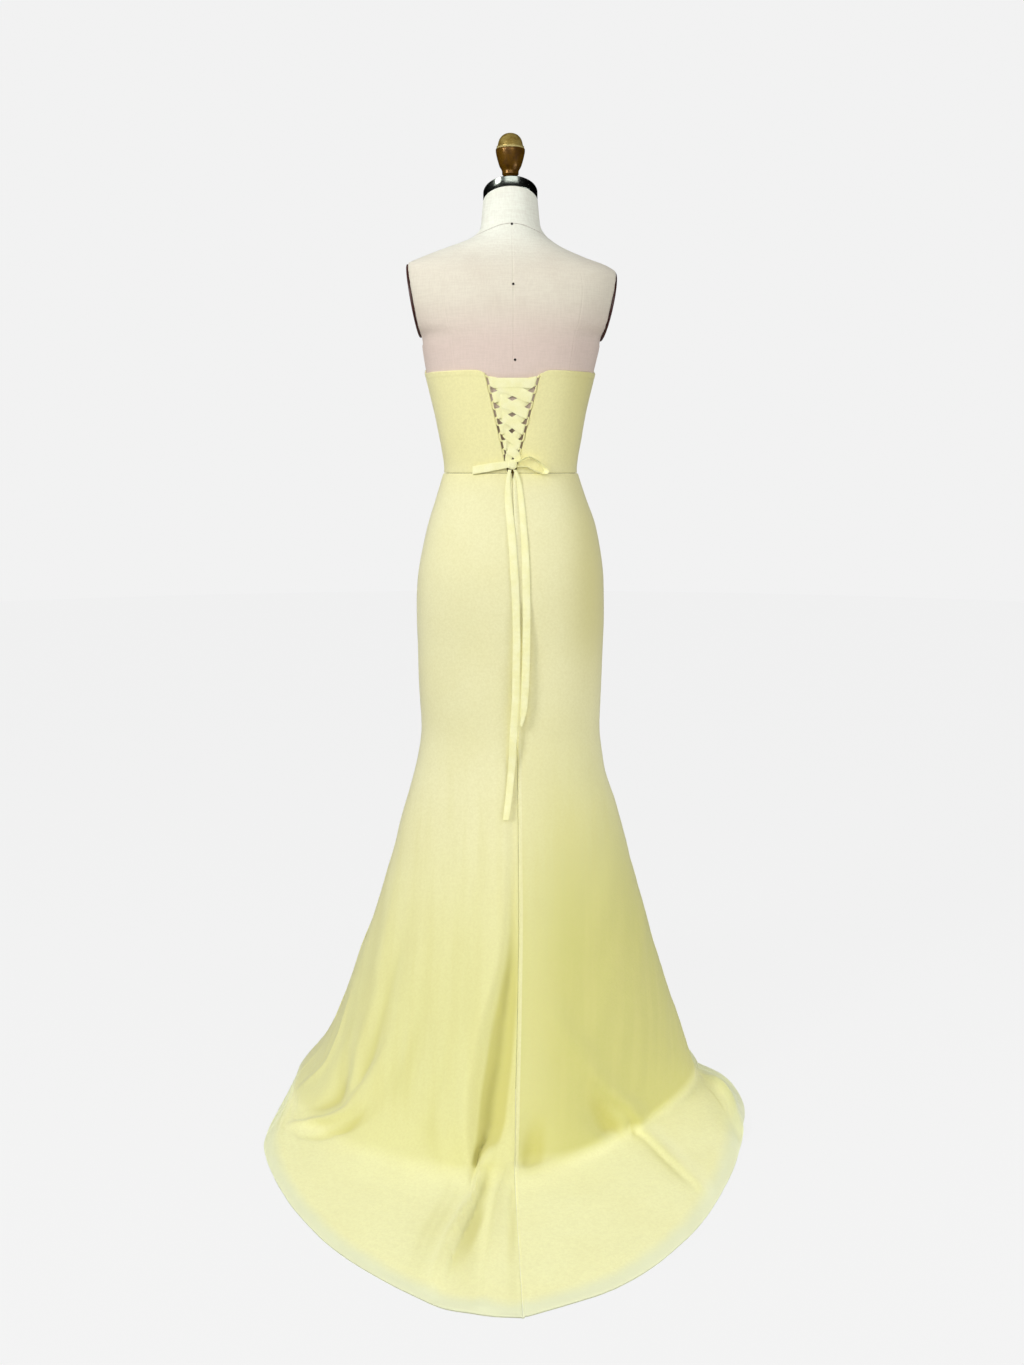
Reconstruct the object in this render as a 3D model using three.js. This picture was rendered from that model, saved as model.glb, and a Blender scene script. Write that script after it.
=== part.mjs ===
// Mermaid dress with a laced back and a sweep train, on a limbless dress form.
// Millimetres. Origin: centre of the form's base, on the floor.
// +X wearer's right, +Y wearer's front, +Z up. The train lies towards -Y.
import * as THREE from 'three';

// ---------------------------------------------------------------- sizes
const SKIRT_WALL = 2.0;        // cloth with its hem and seam turnings
const BODICE_GAP = 1.3;        // bodice off the form
const BODICE_WALL = 2.1;
const SEAM_GAP = 0.6;          // between sewn pieces
const SIDE_SEAM_GAP = 1.2;     // allows for the turn of the hem at the side seams
const WAIST_Z = 1027.0;
const FLOOR_BEND = 18.0;       // how softly the skirt turns on to the floor
const FRONT_HEM_Y = 262.0;
const FORM_BOTTOM_Z = 745.0;

// Skirt, outside: height, half-widths, section middle, back and front y,
// squareness of the left back and right back, sideways drift of centre back.
const SKIRT_KEYS = ['left', 'right', 'mid', 'back', 'front', 'squareLeft',
  'squareRight', 'drift'];
const SKIRT = [
  // z, left, right, mid, back, front, squareLeft, squareRight, drift
  [0, 370.0, 312.0, -134, -458, 243, 2.0, 1.35, -14],
  [17, 360.0, 309.0, -130, -446, 239, 2.0, 1.40, -13],
  [55, 332.0, 298.0, -121, -415, 230, 2.0, 1.45, -11],
  [94, 309.0, 286.0, -111, -380, 219, 2.0, 1.55, -9],
  [133, 293.0, 273.0, -102, -348, 208, 2.0, 1.65, -6],
  [212, 263.0, 247.0, -84, -288, 188, 2.0, 1.80, -1],
  [291, 233.0, 226.0, -66, -235, 168, 2.0, 1.90, 3],
  [371, 208.0, 204.0, -48, -190, 150, 2.0, 2.00, 5],
  [451, 186.0, 184.0, -32, -155, 134, 2.1, 2.10, 6],
  [512, 168.0, 164.0, -22, -136, 124, 2.2, 2.20, 6],
  [552, 159.0, 157.0, -18, -128, 118, 2.2, 2.20, 6],
  [593, 154.0, 153.0, -14, -124, 114, 2.2, 2.20, 5],
  [656, 157.0, 155.0, -12, -123, 112, 2.3, 2.30, 4],
  [740, 159.0, 157.5, -12, -126, 110, 2.3, 2.30, 3],
  [781, 160.0, 158.5, -12, -130, 109, 2.3, 2.30, 2],
  [822, 159.5, 158.0, -12, -133, 108, 2.3, 2.30, 2],
  [863, 156.0, 156.0, -12, -132, 107, 2.3, 2.30, 1],
  [904, 148.0, 150.0, -12, -125, 105, 2.3, 2.30, 1],
  [945, 138.0, 141.0, -10, -113, 101, 2.3, 2.30, 0],
  [985, 125.0, 126.0, -8, -99, 95, 2.3, 2.30, 0],
  [1026, 112.5, 112.5, -5, -88, 88, 2.3, 2.30, 0],
];

// Form, skin: the same columns, with one squareness.
const FORM_KEYS = ['left', 'right', 'mid', 'back', 'front', 'square'];
const FORM = [
  // z, left, right, mid, back, front, square
  [745, 152.5, 151.0, -12, -119, 104, 2.3],
  [781, 154.0, 152.5, -12, -123, 103, 2.3],
  [822, 153.5, 152.0, -12, -126, 102, 2.3],
  [863, 150.0, 150.0, -12, -125, 101, 2.3],
  [904, 142.0, 144.0, -12, -119, 99, 2.3],
  [945, 133.0, 136.0, -10, -108, 96, 2.3],
  [985, 120.2, 121.2, -8, -94.2, 90.2, 2.3],
  [1026, 108.9, 108.9, -5, -84.4, 84.4, 2.3],
  [1045, 109.0, 109.0, -4, -84.8, 86.0, 2.3],
  [1085, 115.8, 115.8, -3, -88, 93, 2.3],
  [1124, 123.5, 122.5, -2, -92, 103, 2.3],
  [1164, 133.0, 132.0, 0, -96, 112.0, 2.3],
  [1196, 140.5, 139.5, 0, -99, 113.8, 2.25],
  [1230, 146.0, 147.5, 0, -102, 110.5, 2.25],
  [1249, 148.0, 150.5, 0, -103.5, 105, 2.3],
  [1265, 160.0, 163.0, 0, -104, 98, 2.3],
  [1309, 175.0, 178.0, -2, -103, 80, 2.25],
  [1346, 178.0, 180.0, -6, -93, 62, 2.2],
  [1362, 174.0, 160.0, -8, -84, 50, 2.1],
  [1374, 150.0, 127.0, -8, -76, 44, 2.0],
  [1390, 108.0, 89.0, -6, -68, 41, 2.0],
  [1404, 70.0, 66.0, -4, -62, 42, 2.0],
  [1418, 52.0, 53.0, -2, -55, 45, 2.0],
  [1436, 47.5, 47.5, 1, -49, 48, 2.0],
  [1490, 44.0, 44.0, 5, -41, 50, 2.0],
];

// The train's hem on the floor, from centre back to each side seam.
const HEM_RIGHT = [
  [-19, -789], [115, -725], [227, -607], [312, -451], [361, -304], [374, -221], [362, -138],
  [326, -84],
];
const HEM_LEFT = [
  [-19, -789], [-74, -780], [-137, -753], [-254, -643], [-333, -522], [-388, -385], [-397, -300],
  [-378, -152],
];

// Soft folds. Each runs along rows of: how far down, place across, height of
// the fold and its half-widths to the left and right, in mm. "Down" is the
// height above the floor, or below zero the percent of the way to the hem.
// "Across" is 0 at centre back and 1 (right) or -1 (left) at the side seams.
const FOLDS = {
  backRidge: [
    // down, across, height, left, right
    [790, -0.070, 0.0, 40, 12], [700, -0.075, 2.5, 45, 12], [556, -0.088, 4.5, 50, 12],
    [462, -0.085, 6.5, 55, 13], [370, -0.082, 9.0, 60, 13], [286, -0.087, 12.0, 62, 14],
    [226, -0.120, 15.0, 62, 17], [168, -0.157, 19.0, 60, 20], [94, -0.170, 22.0, 54, 20],
    [62, -0.160, 22.0, 46, 18], [32, -0.147, 18.0, 38, 14], [10, -0.135, 12.0, 30, 10],
    [-5, -0.126, 7.0, 24, 8], [-16, -0.120, 0.0, 20, 8],
  ],
  backValley: [
    [700, -0.030, 0.0, 12, 12], [556, -0.036, -2.5, 12, 12], [370, -0.038, -6.0, 13, 14],
    [260, -0.038, -10.0, 15, 18], [208, -0.046, -14.0, 18, 20], [134, -0.058, -19.0, 22, 22],
    [96, -0.072, -22.0, 22, 24], [64, -0.080, -22.0, 20, 24], [44, -0.090, -18.0, 15, 20],
    [24, -0.100, -8.0, 11, 12], [4, -0.104, 0.0, 9, 9],
  ],
  trainRidge: [
    [60, -0.078, 0.0, 13, 14], [40, -0.084, 7.0, 11, 13], [28, -0.087, 11.0, 10, 12],
    [0, -0.101, 13.0, 9, 11], [-26, -0.117, 13.0, 10, 10], [-54, -0.140, 12.0, 12, 10],
    [-83, -0.150, 7.0, 13, 10], [-97, -0.153, 0.0, 13, 10],
  ],
  seamRidge: [
    [520, 0.006, 0.0, 9, 30], [354, 0.004, 2.5, 9, 32], [208, 0.002, 4.0, 10, 36],
    [96, 0.000, 5.0, 12, 30], [50, -0.015, 5.0, 16, 22], [20, -0.028, 6.0, 18, 18],
    [0, -0.034, 6.0, 16, 16], [-14, -0.040, 6.0, 14, 14], [-35, -0.050, 5.0, 13, 13],
    [-55, -0.055, 3.0, 13, 13], [-72, -0.060, 0.0, 13, 13],
  ],
  seamPocket: [
    [84, 0.062, 0.0, 26, 34], [54, 0.060, -9.0, 26, 34], [30, 0.056, -16.0, 24, 33],
    [13, 0.052, -18.0, 21, 31], [1, 0.050, -7.0, 18, 28], [-6, 0.050, 0.0, 16, 24],
  ],
  rightDiagonal: [
    [260, 0.060, 0.0, 20, 20], [204, 0.122, 3.0, 20, 22], [150, 0.223, 4.0, 20, 24],
    [96, 0.320, 5.0, 17, 24], [62, 0.395, 6.0, 13, 24], [38, 0.455, 7.0, 10, 26],
    [-2, 0.508, 7.0, 9, 28], [-22, 0.493, 7.0, 8, 28], [-58, 0.470, 6.0, 8, 26],
    [-86, 0.455, 3.0, 8, 24], [-98, 0.450, 0.0, 8, 24],
  ],
  rightDimple: [
    [96, 0.315, 0.0, 28, 26], [60, 0.335, -8.0, 30, 26], [36, 0.355, -13.0, 30, 24],
    [17, 0.382, -14.0, 27, 20], [3, 0.398, -6.0, 23, 16], [-6, 0.405, 0.0, 20, 14],
  ],
  leftFloorFold: [
    [150, -0.520, 0.0, 16, 20], [110, -0.530, 4.0, 14, 18], [66, -0.568, 7.0, 13, 16],
    [48, -0.573, 9.0, 12, 15], [36, -0.587, 10.0, 12, 14], [22, -0.620, 10.5, 12, 13],
    [8, -0.662, 10.0, 12, 13], [-19, -0.738, 7.0, 12, 13], [-49, -0.782, 0.0, 12, 13],
  ],
  leftFloorHollow: [
    [110, -0.690, 0.0, 24, 22], [68, -0.680, -6.0, 25, 22], [44, -0.665, -8.0, 23, 20],
    [28, -0.690, -6.0, 20, 16], [8, -0.740, 0.0, 18, 14],
  ],
  leftSide: [
    [380, -0.800, 0.0, 30, 22], [304, -0.760, 3.0, 28, 20], [224, -0.690, 4.0, 24, 16],
    [180, -0.652, 4.5, 22, 14], [108, -0.658, 5.0, 20, 13], [78, -0.632, 4.5, 18, 13],
    [58, -0.612, 3.5, 16, 13], [40, -0.605, 0.0, 14, 12],
  ],
  leftSideValley: [
    [300, -0.600, 0.0, 14, 14], [184, -0.602, -2.5, 12, 14], [144, -0.595, -3.0, 12, 14],
    [104, -0.585, -3.5, 11, 13], [70, -0.595, -3.0, 11, 12], [50, -0.610, 0.0, 11, 11],
  ],
  leftSofter: [
    [300, -0.520, 0.0, 24, 24], [248, -0.515, 2.0, 22, 20], [178, -0.510, 4.0, 18, 18],
    [110, -0.510, 5.0, 16, 16], [80, -0.515, 5.0, 15, 15], [60, -0.525, 4.0, 14, 14],
    [36, -0.530, 0.0, 13, 14],
  ],
  leftSoft: [
    [400, -0.420, 0.0, 36, 36], [314, -0.380, 3.0, 34, 34], [164, -0.312, 5.0, 24, 20],
    [114, -0.307, 6.0, 21, 16], [82, -0.305, 5.0, 19, 14], [50, -0.302, 2.0, 18, 14],
    [24, -0.300, 0.0, 18, 14],
  ],
  rightHemCurl: [
    [-40, 0.960, 0.0, 26, 14], [-60, 0.920, 6.0, 26, 22], [-72, 0.875, 13.0, 26, 34],
    [-82, 0.800, 15.0, 24, 38], [-91, 0.740, 14.0, 24, 38], [-100, 0.700, 12.0, 24, 38],
  ],
  frontFlutes: [
    [520, 1.480, 0.0, 40, 40], [300, 1.470, 5.0, 40, 40], [60, 1.460, 8.0, 40, 40],
    [0, 1.460, 5.0, 36, 36], [-60, 1.460, 0.0, 34, 34],
  ],
  frontFlutesLeft: [
    [520, -1.560, 0.0, 40, 40], [300, -1.550, 5.0, 40, 40], [60, -1.540, 8.0, 40, 40],
    [0, -1.540, 5.0, 36, 36], [-60, -1.540, 0.0, 34, 34],
  ],
};

// Rows and columns of the skirt's panels, in the folds' terms.
const SKIRT_ROWS = [
  1024.6, 985, 945, 904, 863, 822, 775, 720, 665, 620, 580, 540, 500, 455, 405, 355, 305, 255,
  210, 165, 125, 90, 62, 42, 28, 16, 6, -4, -14, -26, -42, -60, -78, -91, -100,
];
const BACK_LEFT_COLUMNS = [
  -1, -0.91, -0.82, -0.74, -0.67, -0.61, -0.56, -0.51, -0.45, -0.38, -0.31, -0.25, -0.205,
  -0.175, -0.15, -0.125, -0.1, -0.08, -0.06, -0.04, -0.02, 0,
];
const BACK_RIGHT_COLUMNS = [
  0, 0.02, 0.04, 0.06, 0.085, 0.13, 0.19, 0.25, 0.3, 0.34, 0.38, 0.42, 0.455, 0.49, 0.53,
  0.59, 0.67, 0.75, 0.83, 0.91, 1,
];
const FRONT_COLUMNS = 18;
const BODICE_FRONT_COLUMNS = 20;

// Bodice top edge: height against distance round from centre back.
const TOP_EDGE = [[0, 1187], [0.16, 1187.5], [0.32, 1190.5], [0.7, 1190], [1, 1192],
  [1.3, 1212], [1.65, 1240], [2, 1232]];
const BODICE_ROWS = 10;
const BODICE_BACK_COLUMNS = 10;

// The V at centre back: half the gap at each side, at the bottom and the top.
const V_BOTTOM_Z = 1037.0;
const V_TOP_Z = 1183.0;
const V_LEFT = { bottom: 10.5, top: 43.5 };
const V_RIGHT = { bottom: 6.5, top: 42.0 };

// Loops and lace. Depths are measured out from the form's skin.
const LOOP = { count: 5, top: 1171.2, pitch: 25.1, half: 7.0, reach: 5.7, radius: 1.1, depth: 3.6 };
const LOOP_FOOT = 1.7;         // loop cord's middle from the bodice's edge
const LACE = {
  half: 7.0, pinched: 3.6, thick: 0.9, clear: 0.7, behind: 1.25, over: 4.95, under: 3.05,
};
const LACE_FRONT = LOOP.depth + LOOP.radius + LACE.clear + LACE.thick / 2;
const TOP_RUN_Z = 1170.0;
const KNOT = { x: -1, z: 1041.5, halfWidth: 7.5, halfHeight: 8.0, from: 3.9, to: 11.5 };
const BOW_THICK = 0.9;

// Bow loops: x, z, half-height at each end of the flat left loop.
const BOW_LEFT = { nearX: -8.95, nearZ: 1041.8, nearHalf: 5, farX: -62, farZ: 1031.3, farHalf: 7.4,
  back: 5.4, front: 8.5 };
// The open right loop, seen from behind: x, z round from the knot and back.
const BOW_RIGHT = [
  [7.2, 1046.0], [19.5, 1053.2], [26.8, 1055.0], [38.4, 1048.6], [48.2, 1040.6], [54.4, 1032.6],
  [55.2, 1026.2], [50.0, 1022.8], [43.6, 1024.8], [32.2, 1031.0], [21.8, 1037.4], [7.2, 1038.8],
];
const BOW_RIGHT_BACK = 5.2;
const BOW_RIGHT_FRONT = 13.5;
const BOW_RIGHT_INNER = 0.84;  // the back edge is this much smaller than the front

// Tails hang flat down the skirt: height, middle, width, and how far off it.
const TAIL_LEFT = [
  [1032.6, -5.2, 5.6, 3.4], [1018, -7.6, 7.0, 1.9], [1003, -8.5, 8.8, 1.1], [984, -8.2, 11.3, 1.1],
  [937, -4.2, 12.3, 1.1], [889, -1.1, 12.4, 1.1], [825, 2.2, 12.4, 1.1], [760, 3.9, 12.4, 1.1],
  [719, 3.3, 12.4, 1.1], [666, 2.6, 12.4, 1.1], [632, 0.6, 12.2, 1.2], [595, -1.6, 12.0, 1.6],
  [551, -4.0, 11.6, 2.2], [512, -7.8, 11.2, 2.6], [485, -11.5, 10.6, 3.0], [465, -14.8, 9.6, 3.2],
];
const TAIL_RIGHT = [
  [1032.6, 3.0, 5.6, 3.4], [1018, 8.6, 7.0, 1.9], [1003, 10.8, 8.2, 1.1], [984, 12.9, 9.2, 1.1],
  [937, 16.2, 10.4, 1.1], [889, 18.4, 11.8, 1.1], [825, 19.8, 12.4, 1.1], [760, 19.9, 12.4, 1.1],
  [714, 19.0, 12.4, 1.1], [666, 17.1, 12.0, 1.1], [640, 15.2, 10.0, 1.1], [617, 12.0, 4.0, 1.1],
];
const TAIL_STEP = 22;
const TAIL_THICK = 0.9;

// Form fittings.
const ARM_PLATE = { thick: 4.0, halfDepth: 42.0, sides: 24, turn: 6.5 };
const ARM_LEFT = { top: [-170.5, 1365], bottom: [-150.5, 1248], sign: -1 };
const ARM_RIGHT = { top: [173.5, 1354], bottom: [151.0, 1243], sign: 1 };
const NECK_TILT = 24.0;        // neck's top slopes down to the front
const NECK_TOP = { z: 1464.5, y: 3.0 };
const BAND = { radius: 44.5, depth: 45.5, height: 16.5, hubZ: 1483.0, hubRadius: 15.0 };
// Finial: radius, height above its foot.
const FINIAL = [
  [0, 0], [12.5, 0], [12.5, 6.5], [9.0, 10.5], [9.0, 20.5], [13.5, 25.5], [14.0, 31.5],
  [17.5, 37.5], [20.5, 46.5], [22.6, 54.5], [23.8, 60.5], [23.8, 64.5], [22.4, 66.5],
  [22.4, 68.5], [20.6, 70.5], [19.6, 75.5], [17.0, 81.5], [12.0, 86.5], [6.0, 89.1], [0, 89.7],
];
const POLE = { radius: 16.0, sides: 24 };
const BASE_TOP = 46.0;
// Base: radius, height.
const BASE = [
  [0, 0], [168, 0], [172, 4], [172, 10], [166, 15], [120, 20], [62, 27], [38, 34], [34, BASE_TOP],
  [0, BASE_TOP],
];

// ---------------------------------------------------------------- curves
function smooth(xs, ys, x) {
  const last = xs.length - 1;
  const at = Math.min(Math.max(x, xs[0]), xs[last]);
  let i = 0;
  while (i < last - 1 && at > xs[i + 1]) i += 1;
  const slope = (k) => {
    const a = Math.max(k - 1, 0);
    const b = Math.min(k + 1, last);
    return (ys[b] - ys[a]) / (xs[b] - xs[a]);
  };
  const h = xs[i + 1] - xs[i];
  const t = (at - xs[i]) / h;
  const t2 = t * t;
  const t3 = t2 * t;
  return (2 * t3 - 3 * t2 + 1) * ys[i] + (t3 - 2 * t2 + t) * h * slope(i)
    + (3 * t2 - 2 * t3) * ys[i + 1] + (t3 - t2) * h * slope(i + 1);
}

function column(table, k) {
  return table.map((row) => row[k]);
}

function reader(table, keys) {
  const xs = column(table, 0);
  const columns = keys.map((key, k) => [key, column(table, k + 1)]);
  return (x) => Object.fromEntries(columns.map(([key, ys]) => [key, smooth(xs, ys, x)]));
}

function measured(points) {
  const at = [0];
  for (let i = 1; i < points.length; i += 1) {
    const step = Math.hypot(points[i][0] - points[i - 1][0], points[i][1] - points[i - 1][1]);
    at.push(at[i - 1] + step);
  }
  const length = at[at.length - 1];
  return { points, at: at.map((v) => v / length), length };
}

function along(line, u) {
  const { points, at } = line;
  let i = 0;
  while (i < at.length - 2 && u > at[i + 1]) i += 1;
  const t = (u - at[i]) / (at[i + 1] - at[i]);
  return [0, 1].map((k) => points[i][k] + t * (points[i + 1][k] - points[i][k]));
}

// Quarter of a rounded section, from its middle line (across 0) to its side (1).
const QUARTER_STEPS = 48;
function quarter(width, depth, square, mid, drift) {
  const points = [];
  for (let i = 0; i <= QUARTER_STEPS; i += 1) {
    const a = (Math.PI / 2) * (i / QUARTER_STEPS);
    const x = width * Math.sin(a) ** (2 / square);
    const y = depth * Math.max(Math.cos(a), 0) ** (2 / square);
    points.push([x, y + mid]);
  }
  const line = measured(points);
  line.points = points.map((p, i) => [p[0] + drift * (1 - line.at[i]) ** 2, p[1]]);
  return line;
}

function splined(points) {
  const index = points.map((p, i) => i);
  const out = [];
  const steps = 24 * (points.length - 1);
  for (let i = 0; i <= steps; i += 1) {
    const t = (i / steps) * (points.length - 1);
    out.push([0, 1].map((k) => smooth(index, column(points, k), t)));
  }
  return measured(out);
}

function ringPoint(ring, u) {
  const reach = Math.abs(u);
  const back = reach <= 1;
  const line = ring[(back ? 'back' : 'front') + (u < 0 ? 'Left' : 'Right')];
  return { at: along(line, back ? reach : 2 - reach), length: line.length };
}

// ---------------------------------------------------------------- skirt
const skirtAt = reader(SKIRT, SKIRT_KEYS);
const skirtRings = new Map();
function skirtRing(z) {
  const key = z.toFixed(3);
  if (!skirtRings.has(key)) {
    const s = skirtAt(z);
    const frontSquare = 2.0 + 0.2 * Math.min(1, Math.max(0, (z - 400) / 200));
    skirtRings.set(key, {
      backLeft: quarter(-s.left, s.back - s.mid, s.squareLeft, s.mid, s.drift),
      backRight: quarter(s.right, s.back - s.mid, s.squareRight, s.mid, s.drift),
      frontLeft: quarter(-s.left, s.front - s.mid, frontSquare, s.mid, 0),
      frontRight: quarter(s.right, s.front - s.mid, frontSquare, s.mid, 0),
    });
  }
  return skirtRings.get(key);
}

function hemRing() {
  const left = HEM_LEFT[HEM_LEFT.length - 1];
  const right = HEM_RIGHT[HEM_RIGHT.length - 1];
  return {
    backLeft: splined(HEM_LEFT),
    backRight: splined(HEM_RIGHT),
    frontLeft: quarter(left[0], FRONT_HEM_Y - left[1], 1.75, left[1], 0),
    frontRight: quarter(right[0], FRONT_HEM_Y - right[1], 1.85, right[1], 0),
  };
}
const HEM = hemRing();

function softStep(x) {
  return Math.log1p(Math.exp(-Math.abs(x))) + Math.max(x, 0);
}

const FLOOR_START = FLOOR_BEND * Math.log(2);

// How far the skirt runs out while it settles on the floor, by its slope where it starts to.
function floorReach(across, start, hem) {
  const above = ringPoint(skirtRing(2), across).at;
  const way = [hem[0] - start[0], hem[1] - start[1]];
  const step = [start[0] - above[0], start[1] - above[1]];
  const outward = (step[0] * way[0] + step[1] * way[1]) / (2 * Math.hypot(way[0], way[1]));
  return 2 * FLOOR_START * Math.max(outward, 0.18);
}

function skirtBase(across, down) {
  const wall = ringPoint(skirtRing(Math.max(down, 0)), across);
  if (down >= 0) {
    const z = SKIRT_WALL + FLOOR_BEND * softStep(down / FLOOR_BEND);
    return { point: new THREE.Vector3(wall.at[0], wall.at[1], z), length: wall.length };
  }
  const hem = ringPoint(HEM, across);
  const part = -down / 100;
  const x = wall.at[0] + part * (hem.at[0] - wall.at[0]);
  const y = wall.at[1] + part * (hem.at[1] - wall.at[1]);
  const run = part * Math.hypot(hem.at[0] - wall.at[0], hem.at[1] - wall.at[1]);
  const z = SKIRT_WALL + FLOOR_START * Math.exp(-run / floorReach(across, wall.at, hem.at));
  const length = wall.length + part * (hem.length - wall.length);
  return { point: new THREE.Vector3(x, y, z), length };
}

const FOLD_KEYS = ['across', 'height', 'left', 'right'];
const FOLD_READERS = Object.values(FOLDS).map((rows) => {
  const upward = [...rows].reverse();
  const at = reader(upward, FOLD_KEYS);
  return { low: upward[0][0], high: rows[0][0], at };
});

function foldHeight(across, down, length) {
  let total = 0;
  for (const fold of FOLD_READERS) {
    if (down < fold.low || down > fold.high) continue;
    const f = fold.at(down);
    const off = (across - f.across) * length;
    const width = off < 0 ? f.left : f.right;
    total += f.height * Math.exp(-((off / width) ** 2));
  }
  return total;
}

function wrap(across) {
  if (across > 2) return across - 4;
  return across < -2 ? across + 4 : across;
}

function normalOf(surface, across, down, stepAcross, stepDown) {
  const a = surface(wrap(across + stepAcross), down).sub(surface(wrap(across - stepAcross), down));
  const up = surface(across, down + stepDown);
  const b = up.sub(surface(across, down - stepDown));
  return a.cross(b).normalize();
}

function baseSurface(across, down) {
  return skirtBase(across, Math.max(down, -100)).point;
}

function skirtSurface(across, down) {
  const held = Math.min(Math.max(down, -100), 1026);
  const base = skirtBase(across, held);
  const height = foldHeight(across, held, base.length);
  if (Math.abs(height) < 0.01) return base.point;
  const nearHem = held < -98 ? -98 : held;
  const normal = normalOf(baseSurface, across, nearHem, 0.01, 1);
  const point = base.point.addScaledVector(normal, height);
  point.z = Math.max(point.z, SKIRT_WALL);
  return point;
}

function skirtInside(across, down) {
  const held = Math.min(Math.max(down, -99), 1023);
  const normal = normalOf(skirtSurface, across, held, 0.004, 1);
  const point = skirtSurface(across, down).addScaledVector(normal, -SKIRT_WALL);
  point.z = Math.max(point.z, 0);
  return point;
}

function skirtPanel(columns) {
  const outer = [];
  const inner = [];
  for (const down of SKIRT_ROWS) {
    const length = skirtBase(columns[0], down).length;
    const shift = (across) => (across === 0 ? SEAM_GAP : SIDE_SEAM_GAP) / 2 / length;
    const places = columns.map((across, i) => {
      if (i === 0) return across + shift(across);
      return i === columns.length - 1 ? across - shift(across) : across;
    });
    outer.push(places.map((across) => skirtSurface(wrap(across), down)));
    inner.push(places.map((across) => skirtInside(wrap(across), down)));
  }
  return closedWall(outer, inner);
}

function frontColumns() {
  const out = [];
  for (let i = 0; i <= FRONT_COLUMNS; i += 1) out.push(1 + (2 * i) / FRONT_COLUMNS);
  return out;
}

// ---------------------------------------------------------------- form
const formAt = reader(FORM, FORM_KEYS);
const formRings = new Map();
function formRing(z) {
  const key = z.toFixed(3);
  if (!formRings.has(key)) {
    const s = formAt(z);
    formRings.set(key, {
      backLeft: quarter(-s.left, s.back - s.mid, s.square, s.mid, 0),
      backRight: quarter(s.right, s.back - s.mid, s.square, s.mid, 0),
      frontLeft: quarter(-s.left, s.front - s.mid, s.square, s.mid, 0),
      frontRight: quarter(s.right, s.front - s.mid, s.square, s.mid, 0),
    });
  }
  return formRings.get(key);
}

function formSurface(across, z) {
  const [x, y] = ringPoint(formRing(z), across).at;
  return new THREE.Vector3(x, y, z);
}

function offForm(across, z, depth) {
  const normal = normalOf(formSurface, across, z, 0.02, 3);
  return formSurface(across, z).addScaledVector(normal, depth);
}

// A point near centre back, by its x and height, out from the form's skin.
function onBack(x, z, depth) {
  const ring = formRing(z);
  const length = (x < 0 ? ring.backLeft : ring.backRight).length;
  return offForm(x / length, z, depth);
}

// Armhole plane: its middle, the way it faces and its half-height.
function armPlane(arm) {
  const [topX, topZ] = arm.top;
  const [bottomX, bottomZ] = arm.bottom;
  const rise = new THREE.Vector3(topX - bottomX, 0, topZ - bottomZ);
  const halfHeight = rise.length() / 2;
  rise.normalize();
  const turn = THREE.MathUtils.degToRad(ARM_PLATE.turn);
  const across = new THREE.Vector3(-arm.sign * Math.sin(turn), Math.cos(turn), 0);
  const facing = new THREE.Vector3().crossVectors(across, rise).normalize();
  if (facing.x * arm.sign < 0) facing.negate();
  const depthways = new THREE.Vector3().crossVectors(facing, rise).normalize();
  const middle = new THREE.Vector3((topX + bottomX) / 2, -4, (topZ + bottomZ) / 2);
  return { middle, facing, rise, depthways, halfHeight };
}
const ARM_PLANES = [armPlane(ARM_LEFT), armPlane(ARM_RIGHT)];

function cutAtArms(point) {
  if (point.z < 1236) return point;
  for (const plane of ARM_PLANES) {
    const seat = plane.middle.clone().addScaledVector(plane.facing, -ARM_PLATE.thick - SEAM_GAP);
    const past = point.clone().sub(seat).dot(plane.facing);
    if (past > 0 && point.x * plane.facing.x > 0) point.x -= past / plane.facing.x;
  }
  return point;
}

const FORM_ROWS = [
  745, 785, 830, 875, 915, 950, 985, 1006, 1020, 1031, 1043, 1062, 1088, 1115, 1143, 1170, 1194, 1220,
  1235.9, 1236.1, 1270, 1308, 1334, 1350, 1360, 1368, 1377, 1386, 1396, 1407, 1418, 1430,
];
const FORM_COLUMNS = 36;

function formTorso() {
  const rings = FORM_ROWS.map((z) => {
    const ring = [];
    for (let i = 0; i < FORM_COLUMNS; i += 1) {
      ring.push(cutAtArms(formSurface(-2 + (4 * i) / FORM_COLUMNS, z)));
    }
    return ring;
  });
  rings.push(neckRing(45.0, 46.0, NECK_TOP.z, NECK_TILT));
  return loft(rings);
}

// Ring about the neck, sloping down to the front.
function neckRing(halfWidth, halfDepth, z, tilt) {
  const slope = THREE.MathUtils.degToRad(tilt);
  const ring = [];
  for (let i = 0; i < FORM_COLUMNS; i += 1) {
    const u = -2 + (4 * i) / FORM_COLUMNS;
    const a = (u * Math.PI) / 2;
    const y = -halfDepth * Math.cos(a);
    ring.push(new THREE.Vector3(halfWidth * Math.sin(a), NECK_TOP.y + y * Math.cos(slope),
      z - y * Math.sin(slope)));
  }
  return ring;
}

function neckBand() {
  const bottom = NECK_TOP.z + SEAM_GAP / Math.cos(THREE.MathUtils.degToRad(NECK_TILT));
  const top = bottom + BAND.height;
  const width = BAND.radius;
  const depth = BAND.depth;
  return loft([
    neckRing(width - 1.5, depth - 1.5, bottom, NECK_TILT),
    neckRing(width, depth, bottom + 1.2, NECK_TILT),
    neckRing(width, depth, top - 1.2, NECK_TILT),
    neckRing(width - 1.5, depth - 1.5, top, NECK_TILT),
    neckRing(width - 6, depth - 6, top + 0.6, NECK_TILT * 0.85),
    neckRing(width * 0.55, depth * 0.55, top + 1.0, NECK_TILT * 0.4),
    neckRing(BAND.hubRadius, BAND.hubRadius, BAND.hubZ, 0),
  ]);
}

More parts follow.
